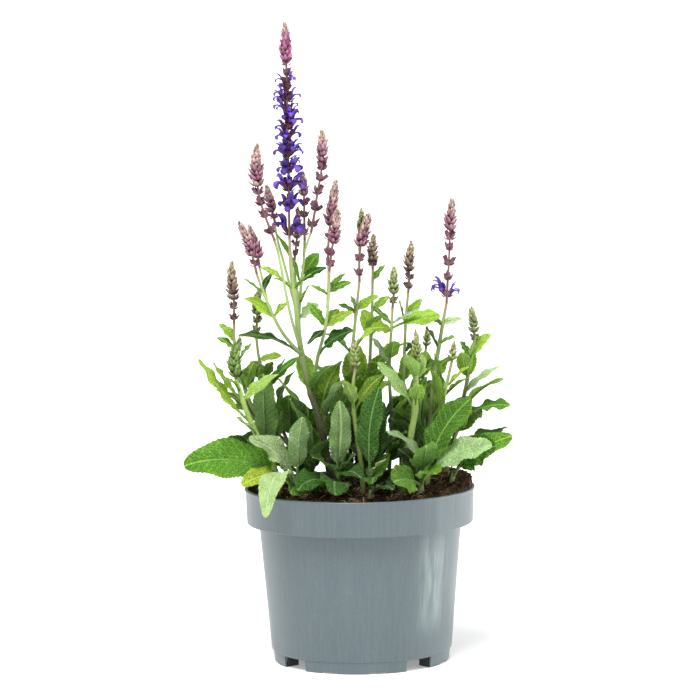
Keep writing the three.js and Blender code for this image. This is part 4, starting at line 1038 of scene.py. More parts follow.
SPREAD = table("""
tuftInnerLeft 200 75 5 82 28 44 74
tuftInnerMiddle 250 75 5 84 28 46 74
tuftInnerRight 300 75 5 80 27 44 74
tuftLeft 150 70 4 66 25 24 66
tuftFrontLeft 60 80 3 64 26 50 68
tuftFront 40 100 3 60 24 50 70
tuftMiddle 300 90 2 44 19 30 60
tuftFrontRight 60 90 3 64 25 46 68
tuftRight 60 70 3 66 25 34 68
tuftBack 60 62 6 80 28 20 70
tuftBackLeft 130 66 5 76 27 16 70
tuftBackRight 20 66 5 74 27 18 70
tuftInnerLeft 230 62 3 52 21 12 24
tuftInnerMiddle 215 56 4 50 21 12 28
tuftBack 235 40 3 52 22 14 30
tuftInnerRight 240 60 3 50 21 14 26
""")  # stem, bearing, step, count, length, width, lowest and highest rise

# %% [markdown]
# A flower spike has loose whorls of calyces low down and a crowded head above. The tallest is
# in full flower. The others are in bud, and one of them has a first whorl open.

# %% The spikes
# Radius of the head, width of the whorls, where the head starts, whorls shut and open, points.
SPIKES = {
    "spike_main": (5.2, 6.2, 999, [], [315.5, 334, 348, 361, 372, 384, 393, 402, 413, 422],
        [(-49, 0, 313.4), (-49, 0, 350), (-49, 0, 390), (-49, 0, 427)]),
    "spike_main_tip": (4.7, 5.4, 443, [432, 440], [], [(-49, 0, 427.4), (-49.5, 0, 446),
        (-50, 0, 472)]),
    "spike_left_tall": (5.0, 5.6, 353, [318, 330, 339, 347], [], [(-60, -12, 313.4),
        (-64, -13, 324), (-68, -14, 336), (-71, -15, 349), (-72, -16, 368), (-71, -16, 384)]),
    "spike_left_behind": (4.0, 4.6, 332, [327], [], [(-60, 13, 325.4), (-62, 14, 334),
        (-66, 15, 353)]),
    "spike_right_pale": (3.8, 5.0, 344, [315, 328, 337], [], [(-38, 10, 311.4), (-38, 10, 329),
        (-38, 9, 348), (-39, 8, 363)]),
    "spike_right_tall": (4.6, 6.0, 369, [321, 333, 345, 355, 363], [], [(-33, 8, 317.4),
        (-30, 6, 333), (-28, 5, 346), (-25, 4, 361), (-24, 4, 377), (-24, 4, 393)]),
    "spike_behind_small": (3.6, 4.2, 312, [299, 306], [], [(-46, 17, 294.4), (-44, 18, 310),
        (-43, 18, 324), (-43, 18, 336)]),
    "spike_low_left": (4.2, 4.6, 303, [295], [], [(-73, -20, 289.4), (-76, -22, 303),
        (-80, -24, 315), (-86, -25, 329)]),
    "spike_low_left_side": (4.2, 4.4, 300, [], [], [(-71, -7, 292.4), (-73, -7, 305),
        (-76, -6, 315), (-79, -6, 325)]),
    "spike_low_right": (4.4, 4.8, 310, [293, 301], [], [(-20, -8, 289.4), (-18, -9, 305),
        (-15, -10, 319), (-13, -10, 336)]),
    "spike_low_right_tall": (4.6, 4.8, 322, [301, 312], [], [(-21, 3, 297.4), (-20, 4, 315),
        (-17, 5, 337), (-14, 5, 357)]),
    "spike_centre": (4.7, 5.0, 306, [284, 295], [], [(2, 12, 280.4), (2, 12, 294), (4, 12, 310),
        (8, 12, 323), (10, 12, 331)]),
    "spike_centre_side": (3.5, 3.8, 317, [], [], [(3, 21, 315.4), (4, 21, 324), (4, 21, 334)]),
    "spike_back": (4.0, 4.4, 293, [289.5], [], [(12, 32, 287.4), (12, 32, 300), (13, 32, 314)]),
    "spike_right_inner": (4.2, 4.8, 286, [273, 280], [], [(38, 22, 270.4), (39, 22, 281),
        (39, 22, 293), (41, 22, 309)]),
    "spike_middle": (4.0, 4.4, 271, [264], [], [(26, 6, 260.4), (27, 6, 270), (27, 6, 281),
        (28, 6, 292)]),
    "spike_far_tall": (4.5, 6.2, 317, [280, 291, 302, 310], [267.5], [(66, 10, 263.4),
        (67, 10, 280), (68, 10, 293), (69, 10, 313), (71, 10, 342)]),
    "spike_far_right": (3.9, 4.6, 241, [235], [], [(86, 12, 231.4), (86, 12, 243), (84, 12, 261)]),
    "spike_left": (4.5, 5.0, 268, [253, 261], [], [(-91, 10, 250.4), (-91, 10, 267), (-92, 10, 282),
        (-92, 10, 297)]),
    "spike_left_back": (4.2, 5.0, 256, [242, 250], [], [(-75, 16, 239.4), (-74, 15, 253),
        (-74, 15, 265), (-71, 15, 276)]),
    "bud_left_low": (5.0, 5.0, 215, [], [], [(-89, -28, 213.4), (-90, -28, 227), (-88, -28, 236),
        (-85, -28, 244)]),
    "bud_front_young": (3.8, 3.8, 221, [], [], [(-2, -28, 220.4), (-2, -28, 232), (-2, -28, 241)]),
    "bud_right_young": (3.6, 3.6, 223, [], [], [(43, -26, 222.4), (43, -26, 236), (42, -26, 248)]),
    "bud_back_leafy": (3.2, 3.2, 229, [], [], [(51, 34, 228.4), (52, 34, 236), (52, 34, 244)]),
    "bud_right_leafy": (3.2, 3.2, 223, [], [], [(69, -8, 222.4), (70, -8, 230), (71, -8, 237)]),
}
print("spikes and buds:", len(SPIKES))

# %% [markdown]
# The growing itself. A leaf is a quadratic curve from stem to tip with a width along it. A grid
# of small cells remembers who is near each place: the number of a node, plus a hundred for each
# leaf of it, so that a leaf may touch its own stem at the stalk and nothing else.

# %% Growing: shape of a leaf
BLADE = 0.9  # a blade's thickness in the solids
CROWN = 7  # how far under a tuft's top its leaves start
CELL, SAMPLE = 1.5, 2.6  # the size of a cell, and the step between a leaf's points
LEAF_ROOM, STEM_ROOM, FLOWER_REACH = 2.5, 1.7, 10.5
MIXED, LEAF_STEP = -1, 100  # the mark of a place with several owners, and the hundred for a leaf
STALK_REACH = 0.3  # up to here, from stem to tip, a leaf may touch its own stem
seed = SEED


def draw():
    """The next of the draws that the solids were grown with, from 0 to 1."""
    global seed
    seed = (seed * 1664525 + 1013904223) & 0xFFFFFFFF
    return seed / 4294967296


def stalk_share(leaf):
    return 0.26 if leaf["broad"] else 0.08


def half_width(leaf, s):
    swell, fullness = (0.86, 0.52) if leaf["broad"] else (0.76, 0.66)
    return leaf["width"] / 2 * np.maximum(np.sin(np.pi * clamp(s) ** swell), 0) ** fullness


def midrib(leaf, t):
    """Place of the midrib, and the directions across and out of the blade."""
    t = np.asarray(t, dtype=float)[..., None]
    root, tip = leaf["root"], leaf["tip"]
    chord = tip - root
    flat = math.hypot(chord[0], chord[1]) or 1
    side = np.array([chord[1] / flat, -chord[0] / flat, 0])
    bend = (root + tip) * 0.5 + np.cross(side, chord) * leaf["arch"] * 2
    place = root * (1 - t) ** 2 + bend * 2 * t * (1 - t) + tip * t * t
    along = unit((bend - root) * (1 - t) + (tip - bend) * t)
    up = np.cross(side, along)
    roll = math.radians(leaf["lean"]) * (-1 if chord[0] < 0 else 1)
    width = side * math.cos(roll) - up * math.sin(roll)
    normal = up * math.cos(roll) + side * math.sin(roll)
    return place, width, normal


def leaf_points(leaf):
    """Points spread over a leaf, each with its place from stem to tip."""
    steps = math.ceil(np.linalg.norm(leaf["tip"] - leaf["root"]) / SAMPLE)
    t = np.arange(1, steps + 1) / steps
    place, width, _ = midrib(leaf, t)
    stalk = stalk_share(leaf)
    halves = half_width(leaf, (t - stalk) / (1 - stalk))
    points = []
    for i in range(steps):
        lanes = math.ceil(halves[i] / SAMPLE)
        for lane in range(-lanes, lanes + 1):
            off = halves[i] * lane / lanes if lanes else 0
            points.append((place[i] + width[i] * off, t[i]))
    return points


# %% Growing: keeping room
ORIGIN, STRIDE = 1000.37, 4096  # these turn a place into the number of its cell
RIM_KEEP, RIM_OVER, RIM_INSIDE, SOIL_OVER = 2.6, 2.2, 6, 2.0  # how far leaves keep off the pot
taken = {}
balls = {}


def ball(reach):
    """The steps from a cell to all the cells within a reach."""
    if reach not in balls:
        span = math.ceil(reach / CELL)
        steps = range(-span, span + 1)
        balls[reach] = [
            (i * STRIDE + j) * STRIDE + k for i in steps for j in steps for k in steps
            if (i * i + j * j + k * k) * CELL * CELL <= reach * reach
        ]
    return balls[reach]


def key_of(point):
    i, j, k = (math.floor((value + ORIGIN) / CELL) for value in point)
    return (i * STRIDE + j) * STRIDE + k


def claim(point, reach, owner):
    start, own = key_of(point), owner % LEAF_STEP
    for step in ball(reach):
        before = taken.get(start + step, owner)
        if before == owner:
            taken[start + step] = owner
        else:
            taken[start + step] = own if before % LEAF_STEP == own else MIXED


def is_free(point, owner, at_stalk):
    radius = math.hypot(point[0], point[1])
    if radius < RIM_RADIUS + RIM_KEEP and point[2] < RIM_HEIGHT + RIM_OVER:
        over = soil_height(radius, math.atan2(point[1], point[0])) + SOIL_OVER
        if radius > RIM_RADIUS - RIM_INSIDE or point[2] < over:
            return False
    holder = taken.get(key_of(point))
    return holder is None or (at_stalk and holder % LEAF_STEP == owner)


# %% Growing: turning a leaf clear
STEEPEST = math.radians(84)
TURNS = sorted(
    ((aside, up, size, abs(aside) + abs(up) * 1.2 + (1 - size) * 160)
     for size in (1, 0.88, 0.74)
     for up in (0, 7, -7, 14, -14, 22, 30)
     for aside in (0, 8, -8, 16, -16, 26, -26, 38, -38)),
    key=lambda turn: turn[3],
)
paths = {name: Path(points) for name, (_, _, _, points) in STEM_POINTS.items()}
spike_paths = {name: Path(spike[5]) for name, spike in SPIKES.items()}
owners = list(dict.fromkeys(node for node, _, _, _ in STEM_POINTS.values()))
leaves = []


def pointing(bearing, rise):
    flat = math.cos(rise)
    return np.array([flat * math.cos(bearing), flat * math.sin(bearing), math.sin(rise)])


def turned_leaf(leaf, aside, up, size):
    chord = leaf["tip"] - leaf["root"]
    length = math.sqrt(float(chord @ chord)) * size
    bearing = math.atan2(chord[1], chord[0]) + math.radians(aside)
    rise = min(STEEPEST, math.atan2(chord[2], math.hypot(chord[0], chord[1])) + math.radians(up))
    step = pointing(bearing, rise) * length
    return {**leaf, "tip": leaf["root"] + step, "width": leaf["width"] * size}


def grow(leaf):
    """Keeps a leaf at the smallest turn that is clear of all before it, if there is one."""
    owner = owners.index(STEM_POINTS[leaf["stem"]][0])
    for aside, up, size, _ in TURNS:
        tried = turned_leaf(leaf, aside, up, size)
        points = leaf_points(tried)
        if all(is_free(point, owner, t < STALK_REACH) for point, t in points):
            leaves.append(tried)
            for point, _ in points:
                claim(point, LEAF_ROOM, owner + LEAF_STEP * len(leaves))
            return


def leaf_on(stem, height, tip, width, lean, arch, broad, colour=""):
    root = paths[stem].at(paths[stem].share(height))
    return {"stem": stem, "root": root, "tip": np.array(tip, dtype=float), "width": width,
            "lean": lean, "arch": arch, "broad": broad, "colour": colour}


def grow_along(leaf, bearing, rise, long):
    """Grows a leaf whose tip is given as a direction from its root and a length."""
    leaf["tip"] = leaf["root"] + pointing(bearing, rise) * long
    grow(leaf)


def about(middle, spread, number):
    """A value round a middle. The number, from 0 to 1, places it in the spread."""
    return middle + spread * (number - 0.5)


print("turns to try for each leaf:", len(TURNS))


# %% Growing: the whole plant
def claim_stems():
    for name, (node, foot, top, _) in STEM_POINTS.items():
        for i in range(61):
            room = foot + (top - foot) * i / 60 + STEM_ROOM
            claim(paths[name].at(i / 60), room, owners.index(node))
    for name, (head, loose, _, _, flowering, _) in SPIKES.items():
        owners.append(name)
        reach = FLOWER_REACH if len(flowering) > 1 else max(head, loose) * 0.75
        for i in range(31):
            room = reach * min(1, 0.4 + 4 * i / 30) + BLADE
            claim(spike_paths[name].at(i / 30), room, len(owners) - 1)


def grow_listed():
    for rows, broad in ((BROAD, True), (NARROW, False)):
        for stem, height, *tip, width, lean, arch, colour in rows:
            grow(leaf_on(stem, height, tip, width, lean, arch, broad, colour))


def grow_spread():
    for stem, first, step, count, length, width, low, high in SPREAD:
        for i in range(int(count)):
            bearing = math.radians(about(first + step * i, 16, draw()))
            rise = math.radians(low + (high - low) * i / (count - 1))
            long = length * (0.9 + 0.2 * draw())
            height = STEM_POINTS[stem][3][-1][2] - CROWN + i
            leaf = leaf_on(stem, height, (0, 0, 0), width, about(0, 24, draw()), 0.13, True)
            grow_along(leaf, bearing, rise, long)


def grow_paired():
    for stem, first, low, high, step, long_low, wide_low, long_top, wide_top in PAIRED:
        count = int((high - low) // step)
        for i in range(count + 1):
            share = i / count if count else 0
            long = long_low + (long_top - long_low) * share
            width = wide_low + (wide_top - wide_low) * share
            for half in (0, 180):
                bearing = math.radians(about(first + 90 * i + half, 20, draw()))
                rise = math.radians(34 + 16 * draw())
                lean = 30 * (draw() - 0.3)
                leaf = leaf_on(stem, low + step * i, (0, 0, 0), width, lean, 0.1, share < 0.4)
                grow_along(leaf, bearing, rise, long)


claim_stems()
grow_listed()
grow_spread()
grow_paired()
grown_leaves = len(leaves)
print("leaves grown:", grown_leaves)

# %% [markdown]
# Small young leaves then close the gaps low in the clump. The solids don't have them, so they
# come last and turn clear of everything else.

# %% Growing: small young leaves
YOUNG = table("""
tuftBackLeft 124 -53 63 152 19 10
tuftBackLeft 128 -34 68 156 19 -5
tuftBackLeft 126 -16 60 152 19 15
tuftBack 128 5 74 166 19 5
tuftBackRight 128 34 64 157 20 -10
tuftBackRight 132 26 60 184 22 10
tuftBackLeft 130 -45 66 166 20 0
tuftBackLeft 130 -24 66 166 20 10
tuftInnerLeft 130 -52 6 158 18 10
tuftInnerLeft 130 -24 4 160 18 -10
tuftInnerMiddle 130 -4 6 160 18 10
tuftInnerMiddle 130 20 4 160 18 -10
tuftInnerRight 132 34 8 160 18 10
tuftBack 128 22 68 160 19 -10
tuftBack 128 -8 68 158 19 10
""")  # stem, height, tip, width, lean
# They all get the dark green, which is painted shade low in the clump.
for stem, height, *tip, width, lean in YOUNG:
    grow(leaf_on(stem, height, tip, width, lean, 0.12, True, "dark"))
print("small young leaves:", len(leaves) - grown_leaves)

# %% [markdown]
# Light and colour by place. Shade and light are painted into the greens: leaves that grow deep
# inside the clump or at its back are painted darker, high ones lighter, and each leaf's own green
# varies a little.

# %% Leaf colours by place
YOUNG_STEMS = ("stem_front_young", "stem_right_young", "stem_left_low", "stem_right_leafy",
               "stem_back_leafy")
CLUMP_RADIUS, CLUMP_TOP = 80, 210
INNER_SHADE, REAR_SHADE = 0.88, 0.55  # how much darker it is deep inside, and behind
SHADE_FADE = 45  # the height over which the shade fades below the clump's top
FRONT_START, FRONT_FADE, FRONT_RELIEF = 20, 50, 0.7  # towards the front the inside shade weakens
REAR_START, REAR_END, REAR_FADE = 5, 90, 40
SHADE_LEVEL, SHADE_SPAN = 135, 95  # the height of the darkest leaves, and up to the brightest


def leaf_tint(leaf):
    """The given colour, or one by height: leaves low down are painted darker, as shade."""
    dark, bright = np.array(GREENS["dark"]), np.array(GREENS["bright"])
    if leaf["colour"]:
        tint = np.array(GREENS[leaf["colour"]])
    else:
        middle = leaf["root"] * 0.4 + leaf["tip"] * 0.6
        light = clamp(about((middle[2] - SHADE_LEVEL) / SHADE_SPAN, 0.35, rng.random()))
        tint = dark * (1 - light) + bright * light
    if STEM_POINTS[leaf["stem"]][0] in YOUNG_STEMS:
        tint = tint * 0.4 + bright * 0.75
    return tint * (0.62 + 0.70 * rng.random()) * about(1, np.array([0.22, 0.1, 0.5]), rng.random(3))


def daylight(points):
    """The painted light of a place: dark inside the clump and low down, light outside and on top.
    """
    y, z = points[:, 1], points[:, 2]
    out = np.hypot(points[:, 0], y)
    inside = clamp(1 - out / CLUMP_RADIUS) * clamp((CLUMP_TOP - z) / SHADE_FADE)
    inside = inside * (1 - FRONT_RELIEF * clamp((-FRONT_START - y) / FRONT_FADE))
    behind = clamp((y - REAR_START) / REAR_FADE) * clamp((CLUMP_TOP + 15 - z) / SHADE_FADE)
    behind = behind * clamp((REAR_END - y) / REAR_FADE)
    high = clamp((z - CLUMP_TOP) / 60)
    return (1 - INNER_SHADE * inside) * (1 - REAR_SHADE * behind) * (1 + 0.3 * high)


def lit(tint, points):
    """A green for each point, with the painted light and shade of its place, and an alpha of 1."""
    return np.column_stack([tint * daylight(points)[:, None], np.ones(len(points))])


print("daylight inside and outside:", daylight(np.array([[0, 0, 150], [90, -30, 150]])).round(2))

# %% [markdown]
# A fine leaf. The blade is a grid: rows along the midrib, columns across. The edge gets its
# rounded teeth from the rows, the face is quilted between the side veins, and the two sheets,
# upper and lower, are joined round the edge into one closed skin. A stalk runs from the stem
# and goes on under the blade as its midrib.

# %% A leaf's relief
SHEET = 0.4  # the blade's thickness
TOOTH = 3.1  # from one rounded tooth to the next
TOOTH_DEPTH, DEEPEST_TOOTH = 0.1, 1.1  # as a share of the half width, and at most
BLADE_END = 0.994  # where the grid stops, just short of the tip
FOLD = 0.17  # how far the halves rise from the midrib, as a share of the half width
TWIST = 30  # degrees, from one end of a blade to the other
SWAY = 0.05  # how far a blade bends aside, as a share of its length
SAG = 0.06  # and how far its tip hangs
QUILT = 0.026  # the height of the face between side veins, as a share of the width
RIPPLE = 0.19  # how far the edge waves, as a share of the half width
WRINKLE = 0.12  # the height of the fine wrinkles
COLUMNS = np.array([-1, -0.9, -0.7, -0.48, -0.26, -0.09, 0, 0.09, 0.26, 0.48, 0.7, 0.9, 1])
AWAY = np.abs(COLUMNS)[None, :]


def curled(leaf, s, stalk, length):
    """The midrib of the blade, swayed, sagging and twisted a little."""
    place, width, normal = midrib(leaf, stalk + (1 - stalk) * s)
    aside = length * (np.sin(np.pi * s) * SWAY * 2 * (rng.random() - 0.5))
    sag = np.outer(length * SAG * rng.random() * s ** 3, [0, 0, 1])
    place = place + width * aside[:, None] - sag
    turn = np.radians(TWIST * 2 * (rng.random() - 0.5)) * (s - 0.35)
    cos, sin = np.cos(turn)[:, None], np.sin(turn)[:, None]
    return place, width * cos + normal * sin, normal * cos - width * sin


def relief(leaf, s, half, across, along, phase):
    """How far each point of the blade stands out of its plane."""
    quilt = np.abs(np.sin(np.pi * phase)) ** 0.8 * (1 - AWAY ** 8) * np.minimum(1, AWAY * 5)
    ripple = np.zeros_like(across)
    for side in (COLUMNS > 0, COLUMNS < 0):
        waves = 2 * np.pi * (s * (1.3 + 1.9 * rng.random()) + rng.random())
        ripple += RIPPLE * half[:, None] * np.sin(waves)[:, None] * (COLUMNS ** 2 * side)[None, :]
    wrinkle = np.sin(along * 2.3 + 2 * np.sin(across * 1.1)) * np.sin(across * 2.1 + 1.3)
    fold = FOLD * AWAY * half[:, None] - FOLD * 0.5 * half[:, None]
    return fold + QUILT * leaf["width"] * quilt + ripple + WRINKLE * wrinkle * (1 - AWAY ** 6)


def blade_faces(rows, columns):
    """Two sheets, the lower one turned over, joined round their edge."""
    top, base = strip_faces(rows, columns, False), rows * columns
    rim = list(range(columns)) + [i * columns + columns - 1 for i in range(1, rows)]
    rim += [(rows - 1) * columns + k for k in range(columns - 2, -1, -1)]
    rim += [i * columns for i in range(rows - 2, 0, -1)]
    faces = top + [[corner + base for corner in face[::-1]] for face in top]
    return faces + [[a, a + base, b + base, b] for a, b in zip(rim, rim[1:] + rim[:1])]


# %% One fine leaf
STALK_SIDES = 7
STALK_GREEN = np.array([0.20, 0.30, 0.10])
STALK_RIB_END = 0.9  # where the rib under the blade stops, from stem to tip


def fine_leaf(skin, leaf):
    stalk = stalk_share(leaf)
    length = float(np.linalg.norm(leaf["tip"] - leaf["root"])) * (1 - stalk)
    teeth = max(5, round(length / TOOTH))
    rows = 4 * teeth + 1
    s = np.linspace(0.0, BLADE_END, rows)
    half = np.maximum(half_width(leaf, s), 0.5)
    bite = (1 - np.abs(np.sin(np.pi * s * teeth)) ** 0.7) * (s > 0.04)
    edge = half - np.minimum(TOOTH_DEPTH * half, DEEPEST_TOOTH) * bite
    place, width, normal = curled(leaf, s, stalk, length)
    across = COLUMNS[None, :] * edge[:, None]
    along = (s * length)[:, None] * np.ones_like(across)
    pitch = min(5.2, max(2.2, leaf["width"] * 0.2))
    phase = (along - 0.8 * np.abs(across)) / pitch
    lift = relief(leaf, s, half, across, along, phase)[:, :, None]
    mid = place[:, None, :] + width[:, None, :] * across[:, :, None]
    sheet = np.minimum(SHEET, 0.15 + 0.4 * half)[:, None, None] * (1 - 0.6 * AWAY ** 4)[:, :, None]
    upper, lower = (mid + normal[:, None, :] * (lift + side * sheet / 2) for side in (1, -1))
    points = np.concatenate([upper.reshape(-1, 3), lower.reshape(-1, 3)])
    tint = leaf_tint(leaf)
    skin.add(points, blade_faces(rows, len(COLUMNS)), tint=lit(tint, points),
             face=np.repeat([0.0, 1.0], across.size), phase=np.tile(phase.ravel(), 2),
             away=np.tile(np.abs(across).ravel(), 2))
    leaf_stalk(skin, leaf, tint)


def leaf_stalk(skin, leaf, tint):
    """The stalk, and the rib under the blade that goes on from it."""
    stalk = stalk_share(leaf)
    t = np.concatenate([np.linspace(0.0, stalk, 7), np.linspace(stalk, STALK_RIB_END, 12)[1:]])
    place, width, normal = midrib(leaf, t)
    thin = np.where(t < stalk, 1.0, 1.0 - 0.75 * (t - stalk) / (STALK_RIB_END - stalk))
    thick = (0.75 + 0.018 * leaf["width"]) * thin
    blade = np.maximum(half_width(leaf, (t - stalk) / (1 - stalk)), 0.5)
    drop = np.where(t < stalk, 0, 0.3 + FOLD * 0.5 * blade)
    centre = place - normal * drop[:, None]
    points = swept(centre, width, normal, circle(STALK_SIDES), thick[:, None])
    faces = [face[::-1] for face in strip_faces(len(t), STALK_SIDES, True)]
    count = len(points)
    skin.add(points, faces, tint=lit(tint * 0.5 + STALK_GREEN * 0.5, points), face=np.zeros(count),
             phase=np.full(count, 0.5), away=np.full(count, 2.0))


# %% [markdown]
# A stem piece holds a stem and its branches, and a blade piece all their leaves; together they
# stand for one solid. Salvia stems are square, so the tube's section bulges at four corners, and
# it swells a little at each node where a pair of leaves leaves it. The small young leaves are a
# piece of their own.

# %% Stems
STEM_GREEN = np.array([0.30, 0.42, 0.13])
STEM_BROWN = np.array([0.085, 0.075, 0.04])
STEM_RIPE = np.array([0.26, 0.20, 0.12])
STEM_YOUNG = np.array([0.36, 0.52, 0.11])
STEM_SIDES, STEM_SQUARE, STEM_STEP = 12, 0.16, 3
SPIKE_AXIS = 1.15
SPIKE_FOOT = 215  # a stem that ends over this height carries a spike
NODE_SWELL, NODE_LENGTH = 0.18, 2.6  # as a share of the foot's radius, and in millimetres
GREEN_FROM, GREEN_SPAN = 150, 130  # the height where a stem starts to turn from brown to green


def fine_stem(skin, name):
    node, foot, top, _ = STEM_POINTS[name]
    path = paths[name]
    tall = path.high - path.low
    rows = max(8, int(tall / STEM_STEP))
    t = np.linspace(0, 1, rows)
    radii = foot + (top - foot) * t
    if node.startswith("leaves"):
        radii = radii * (1 - 0.8 * clamp((t - 0.55) / 0.45) ** 1.5)
    else:
        if path.high > SPIKE_FOOT:
            radii = radii + (SPIKE_AXIS - radii) * clamp((t - 0.86) / 0.14)
        for leaf in leaves[:grown_leaves]:
            if leaf["stem"] == name:
                off = (t - path.share(leaf["root"][2])) * tall
                radii = radii + NODE_SWELL * foot * np.exp(-(off / NODE_LENGTH) ** 2) * 0.5
    skin_points, faces = tube(path, t, radii, STEM_SIDES, STEM_SQUARE)
    centre = path.at(t)
    light = clamp((centre[:, 2] - GREEN_FROM) / GREEN_SPAN)[:, None]
    low = STEM_BROWN if name == "main" else (STEM_BROWN + STEM_GREEN) / 2
    tint = low * (1 - light) + STEM_GREEN * light
    if node in YOUNG_STEMS:
        tint = np.tile(STEM_YOUNG, (rows, 1))
    ripe = clamp((t - 0.80) / 0.2)[:, None] * (path.high > SPIKE_FOOT)
    tint = tint * (1 - ripe) + STEM_RIPE * ripe
    skin.add(skin_points, faces, tint=np.repeat(lit(tint, centre), STEM_SIDES, axis=0))


counts = {}
for node in dict.fromkeys(entry[0] for entry in STEM_POINTS.values()):
    stalks, blades = Skin("tint"), Skin(*KINDS)
    for name in [name for name, entry in STEM_POINTS.items() if entry[0] == node]:
        fine_stem(stalks, name)
        for leaf in leaves[:grown_leaves]:
            if leaf["stem"] == name:
                fine_leaf(blades, leaf)
    counts[node] = hand_over(stalks.piece(node + "_stalk", STEM), [node])
    if blades.count:
        counts[node] += hand_over(blades.piece(node + "_blades", LEAF), [node])
young = Skin(*KINDS)
for leaf in leaves[grown_leaves:]:
    fine_leaf(young, leaf)
counts["young leaves"] = hand_over(young.piece("young_crown_leaves", LEAF), [])
print("stems and leaves:", sum(counts.values()), "triangles in", len(counts), "groups")

# %% [markdown]
# Florets. Four small shapes are modelled once, each with a number along it from root to tip:
# an open calyx with its teeth, a closed bud, a pointed bract, and a two-lipped flower. They are
# repeated hundreds of times, so each has only a few dozen faces.


# %% Small shapes for the spikes
def shape_of(name, mesh_name, points, faces, low, high):
    """A shape with a number along it: 0 at the low height, 1 at the high one."""
    heights = np.array([point[2] for point in points])
    along = clamp((heights - low) / ((high or heights.max()) - low))
    mesh = make_mesh(mesh_name, points, faces, [("along", "FLOAT", along)])
    return bpy.data.objects.new(name, mesh)


def shape_from_rings(name, rings, close_tip=False):
    """Rings of millimetre points up local Z, closed at the root, and at the tip or mouth."""
    sides = len(rings[0])
    points = [point for ring in rings for point in ring]
    faces = strip_faces(len(rings), sides, True)
    if close_tip:
        faces.pop()
        points.append(np.mean(rings[-1], axis=0) + [0, 0, 0.3])
        last = (len(rings) - 1) * sides
        faces += [[last + k, last + (k + 1) % sides, len(points) - 1] for k in range(sides)]
    return shape_of(name, name, points, faces, 0, None)


def ring(radius, height, sides=8, teeth=0.0, squash=1.0):
    """A ring of points. With teeth, every second point stands out and up."""
    points = []
    for k in range(sides):
        angle, out = 2 * math.pi * k / sides, radius + teeth * (k % 2)
        points.append(np.array([out * math.cos(angle), out * math.sin(angle) * squash,
                                height + 1.3 * teeth * (k % 2)]))
    return points


def calyx():
    rings = [ring(0.5, 0), ring(1.3, 1.4), ring(1.65, 3.6), ring(1.45, 5.6, teeth=0.4),
             ring(0.95, 4.8), ring(0.3, 2.6)]
    return shape_from_rings("shape_a_calyx", rings)


def bud():
    rings = [ring(0.5, 0, 6), ring(1.4, 1.3, 6), ring(1.7, 2.9, 6, squash=0.8),
             ring(1.1, 4.9, 6, squash=0.7), ring(0.3, 6.4, 6)]
    return shape_from_rings("shape_b_bud", rings, close_tip=True)


def bract():
    """An ovate, cupped scale, thin and closed, its hollow side towards local Y."""
    rows = []
    for s in np.linspace(0, 1, 6):
        half = 0.25 + 2.5 * math.sin(math.pi * (0.08 + 0.90 * s) ** 0.75) ** 0.9
        cup = math.sin(math.pi * min(1, s + 0.1))
        edge = 0.35 * half - cup
        outline = (-half, edge), (0, -cup - 0.15), (half, edge), (0, -cup + 0.15)
        rows.append([np.array([x, y, 6.2 * s]) for x, y in outline])
    return shape_from_rings("shape_c_bract", rows)


def petal(points, faces, centres, halves, normals, thick=0.4):
    """A thin closed strip along centres, added to the lists."""
    base = len(points)
    for centre, half, normal in zip(centres, halves, normals):
        c, n = np.array(centre), unit(np.array(normal))
        cup = n * 0.45 * half
        points += [c + [-half, 0, 0] + cup, c - n * thick, c + [half, 0, 0] + cup, c + n * thick]
    faces += [[i + base for i in face] for face in strip_faces(len(centres), 4, True)]


def flower():
    """A tube, a hood arched over it and a broad lip that hangs. Local Y is up."""
    points, faces = [], []
    for z, radius in ((2.6, 0.8), (5.2, 1.1), (7.0, 1.6)):
        points += ring(radius, z, 6)
    faces += strip_faces(3, 6, True)
    hood = [(0, 0.9, 6.0), (0, 2.0, 8.2), (0, 2.5, 10.6), (0, 1.7, 12.6), (0, 0.2, 13.6)]
    petal(points, faces, hood, (1.3, 1.8, 1.8, 1.3, 0.4),
          [(0, -1, 0.5), (0, -1, 0.2), (0, -1, -0.1), (0, -0.9, -0.6), (0, -0.6, -1)])
    lip = [(0, -0.7, 6.4), (0, -1.6, 8.2), (0, -3.0, 9.3), (0, -4.5, 9.4), (0, -5.6, 8.4),
           (0, -6.0, 7.6)]
    petal(points, faces, lip, (1.1, 1.1, 1.3, 2.2, 1.9, 0.7),
          [(0, 1, 0.2), (0, 1, 0.6), (0, 0.6, 1), (0, 0.2, 1), (0, -0.2, 1), (0, -0.4, 1)])
    for sign in (-1, 1):
        side = [(sign * 0.9, -0.6, 6.8), (sign * 1.9, -1.2, 8.2), (sign * 2.5, -1.8, 9.0)]
        petal(points, faces, side, (0.7, 0.9, 0.3), [(0, 1, 0.4)] * 3, 0.35)
    return shape_of("shape_d_flower", "flower", points, faces, 3, 12)


CALYX, BUD, BRACT, FLOWER = range(4)
shapes = bpy.data.collections.new("floret shapes")
for shape in (calyx(), bud(), bract(), flower()):
    shapes.objects.link(shape)

# %% [markdown]
# The tree for a spike takes bare points. Each says which shape it gets, where it aims, how big
# it is and its two colours. Two Align Rotation nodes stand the shape along its aim and then
# turn its own up side upwards, so that every hood is over its lip.


